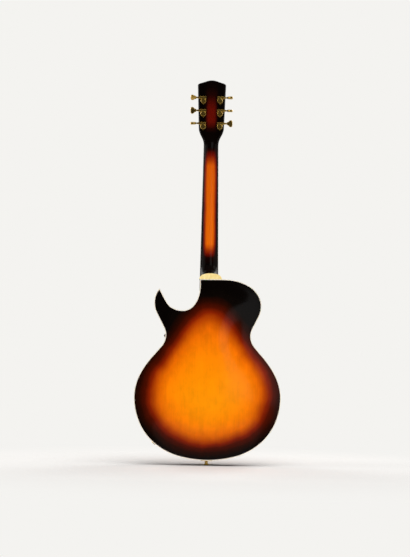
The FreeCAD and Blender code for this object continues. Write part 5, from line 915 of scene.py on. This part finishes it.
class ARCHTOP_OT_stage(Operator):
    """Sets the floor, the dark cloth, the room, the lights and the camera"""
    bl_idname = "archtop.stage"
    bl_label = "Set the stage"

    def execute(self, context):
        stage = context.scene.archtop_stage
        self.floor()
        self.cloth(stage)
        self.world(stage.light)
        self.sun(stage.light)
        for name, box in SOFT_BOXES.items():
            self.soft_box(name, box, stage.light)
        self.camera(stage)
        context.scene.view_settings.view_transform = "Standard"
        return {"FINISHED"}

    def stage_piece(self, name, builder, material):
        """A piece of the studio, which isn't part of the guitar."""
        mesh = bpy.data.meshes.new(name)
        builder.to_mesh(mesh)
        builder.free()
        mesh.materials.append(material)
        piece = bpy.data.objects.new(name, mesh)
        bpy.context.scene.collection.objects.link(piece)
        return piece

    def floor(self):
        """Matt pale paper round the guitar, which goes over into the white of the room further out."""
        material, tree, place = start_material("matt_pale_paper")
        cloud = mottle(tree, place, PAPER_CLOUD)
        tint = add(tree, "ValToRGB", {"Fac": cloud}, stops=((0.3, "C9C7C4"), (0.7, "CECCC9")))
        matt = {"Base Color": tint, "Roughness": 0.9, "Specular IOR Level": 0.1}
        paper = add(tree, "BsdfPrincipled", matt)
        away = add(tree, "VectorMath", {0: place}, out="Value", operation="LENGTH")
        far = add(tree, "MapRange", {"Value": away, "From Min": FLOOR_FADE_START,
                                     "From Max": FLOOR_FADE_END}, interpolation_type="SMOOTHSTEP")
        white = add(tree, "Emission", {"Color": srgb(ROOM_WHITE), "Strength": 1.0})
        seen = add(tree, "Math", {0: far, 1: shown(tree)}, operation="MULTIPLY")
        add(tree, "OutputMaterial", {"Surface": add(tree, "MixShader", {"Fac": seen, 1: paper, 2: white})})
        builder = bmesh.new()
        bmesh.ops.create_grid(builder, x_segments=FLOOR_PANELS, y_segments=FLOOR_PANELS,
                              size=FLOOR_HALF_SIZE)
        bmesh.ops.translate(builder, verts=builder.verts, vec=(0.0, 0.0, CAD_BOX[0].z))
        self.stage_piece("floor", builder, material)

    def cloth(self, stage):
        """A dark cloth behind the camera, over it and along the floor. Only gloss sees it, to stay deep."""
        material, tree, place = start_material("black_felt")
        nap = mottle(tree, place, FELT_NAP, detail=4.0)
        end_material(tree, toned(tree, nap, ((0.3, "050505"), (0.7, "0C0C0C")), rough=(0.9, 1.0)))
        width, height = CLOTH_SIZE
        builder = bmesh.new()
        bmesh.ops.create_grid(builder, x_segments=CLOTH_PANELS, y_segments=CLOTH_PANELS, size=1.0)
        bmesh.ops.scale(builder, verts=builder.verts, vec=(width / 2, height / 2, 1.0))
        away = -stage.distance - CLOTH_BEHIND
        upright = Matrix.Translation((0.0, away, height / 2)) @ Matrix.Rotation(math.pi / 2, 4, "X")
        builder.transform(upright)
        hem = [edge for edge in builder.edges if max(vert.co.z for vert in edge.verts) < CLOTH_LIFT]
        near_top = height - CLOTH_LIFT
        top = [edge for edge in builder.edges if min(vert.co.z for vert in edge.verts) > near_top]
        for edges, reach in ((hem, CLOTH_ON_FLOOR), (top, CLOTH_OVERHEAD)):
            run = bmesh.ops.extrude_edge_only(builder, edges=edges)["geom"]
            bmesh.ops.translate(builder, verts=corners(run), vec=(0.0, reach - away, 0.0))
        bmesh.ops.translate(builder, verts=builder.verts, vec=(0.0, 0.0, CAD_BOX[0].z + CLOTH_LIFT))
        cloth = self.stage_piece("dark_cloth", builder, material)
        cloth.visible_camera = False
        cloth.visible_diffuse = False
        cloth.visible_shadow = False

    def world(self, light):
        """The white of the room behind everything, and a dim even light from all round."""
        world = bpy.data.worlds.new("studio")
        bpy.context.scene.world = world
        world.use_nodes = True
        tree = world.node_tree
        tree.nodes.clear()
        room = add(tree, "Background", {"Color": srgb(ROOM_GREY), "Strength": ROOM_LEVEL * light})
        white = add(tree, "Background", {"Color": srgb(ROOM_WHITE), "Strength": 1.0})
        both = add(tree, "MixShader", {"Fac": shown(tree), 1: room, 2: white})
        add(tree, "OutputWorld", {"Surface": both})

    def sun(self, light):
        """A wide even light from high on the camera's side."""
        lamp = bpy.data.lights.new("high_light", "SUN")
        lamp.energy = SUN_STRENGTH * light
        lamp.angle = math.radians(SUN_ANGLE)
        high = bpy.data.objects.new("high_light", lamp)
        high.rotation_euler = self.outward(SUN_AZIMUTH, SUN_ELEVATION).to_track_quat("Z", "Y").to_euler()
        bpy.context.scene.collection.objects.link(high)

    def outward(self, azimuth, elevation):
        """The way out to a lamp, in degrees. Azimuth 0 is the camera's side."""
        around, up = math.radians(azimuth), math.radians(elevation)
        return Vector((math.sin(around) * math.cos(up), -math.cos(around) * math.cos(up), math.sin(up)))

    def soft_box(self, name, box, light):
        """A rectangular lamp that faces the guitar."""
        azimuth, elevation, distance, width, height, watts = box
        lamp = bpy.data.lights.new(name, "AREA")
        lamp.shape = "RECTANGLE"
        lamp.size = width
        lamp.size_y = height
        lamp.energy = watts * light
        out = self.outward(azimuth, elevation)
        lit = bpy.data.objects.new(name, lamp)
        lit.location = (CAD_BOX[0] + CAD_BOX[1]) / 2 + out * distance
        lit.rotation_euler = out.to_track_quat("Z", "Y").to_euler()
        bpy.context.scene.collection.objects.link(lit)

    def camera(self, stage):
        """The camera, tilted by the lean, rolled a little and aimed at the back."""
        lens = bpy.data.cameras.new("camera")
        lens.lens = stage.lens
        lens.clip_end = CAMERA_REACH
        eye = bpy.data.objects.new("camera", lens)
        forward = Vector((0.0, math.cos(stage.lean), math.sin(stage.lean)))
        level = Vector((1.0, 0.0, 0.0))
        upright = Vector((0.0, -math.sin(stage.lean), math.cos(stage.lean)))
        right = level * math.cos(stage.roll) + upright * math.sin(stage.roll)
        up = upright * math.cos(stage.roll) - level * math.sin(stage.roll)
        back_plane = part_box("back_binding")[0].y
        aim = Vector((stage.aim_x, back_plane, stage.aim_z))
        turn = Matrix((right, up, -forward)).transposed().to_4x4()
        eye.matrix_world = Matrix.Translation(aim - forward * stage.distance) @ turn
        bpy.context.scene.collection.objects.link(eye)
        bpy.context.scene.camera = eye


class ARCHTOP_PT_panel(Panel):
    """The steps and their settings, in the sidebar of the 3D view"""
    bl_idname = "ARCHTOP_PT_panel"
    bl_label = "Archtop guitar"
    bl_space_type = "VIEW_3D"
    bl_region_type = "UI"
    bl_category = "Archtop"

    def draw(self, context):
        for setting in SETTINGS:
            group = getattr(context.scene, setting)
            for name in group.__annotations__:
                self.layout.prop(group, name)
        for step in STEPS:
            self.layout.operator(step.bl_idname)


SETTINGS = {"archtop_colours": ArchtopColours, "archtop_finish": ArchtopFinish,
            "archtop_parts": ArchtopParts, "archtop_stage": ArchtopStage}
STEPS = (ARCHTOP_OT_body, ARCHTOP_OT_neck, ARCHTOP_OT_metal, ARCHTOP_OT_strings, ARCHTOP_OT_controls,
         ARCHTOP_OT_stage)
CLASSES = tuple(SETTINGS.values()) + STEPS + (ARCHTOP_PT_panel,)


def register():
    """Makes the classes and the scene's settings known."""
    for item in CLASSES:
        bpy.utils.register_class(item)
    for setting, group in SETTINGS.items():
        setattr(bpy.types.Scene, setting, PointerProperty(type=group))


def unregister():
    """Takes the settings and the classes away again."""
    for setting in SETTINGS:
        delattr(bpy.types.Scene, setting)
    for item in reversed(CLASSES):
        bpy.utils.unregister_class(item)


def main():
    """Runs every step in order."""
    register()
    bpy.ops.archtop.body()
    bpy.ops.archtop.neck()
    bpy.ops.archtop.metal()
    bpy.ops.archtop.strings()
    bpy.ops.archtop.controls()
    bpy.ops.archtop.stage()


if __name__ == "__main__":
    main()
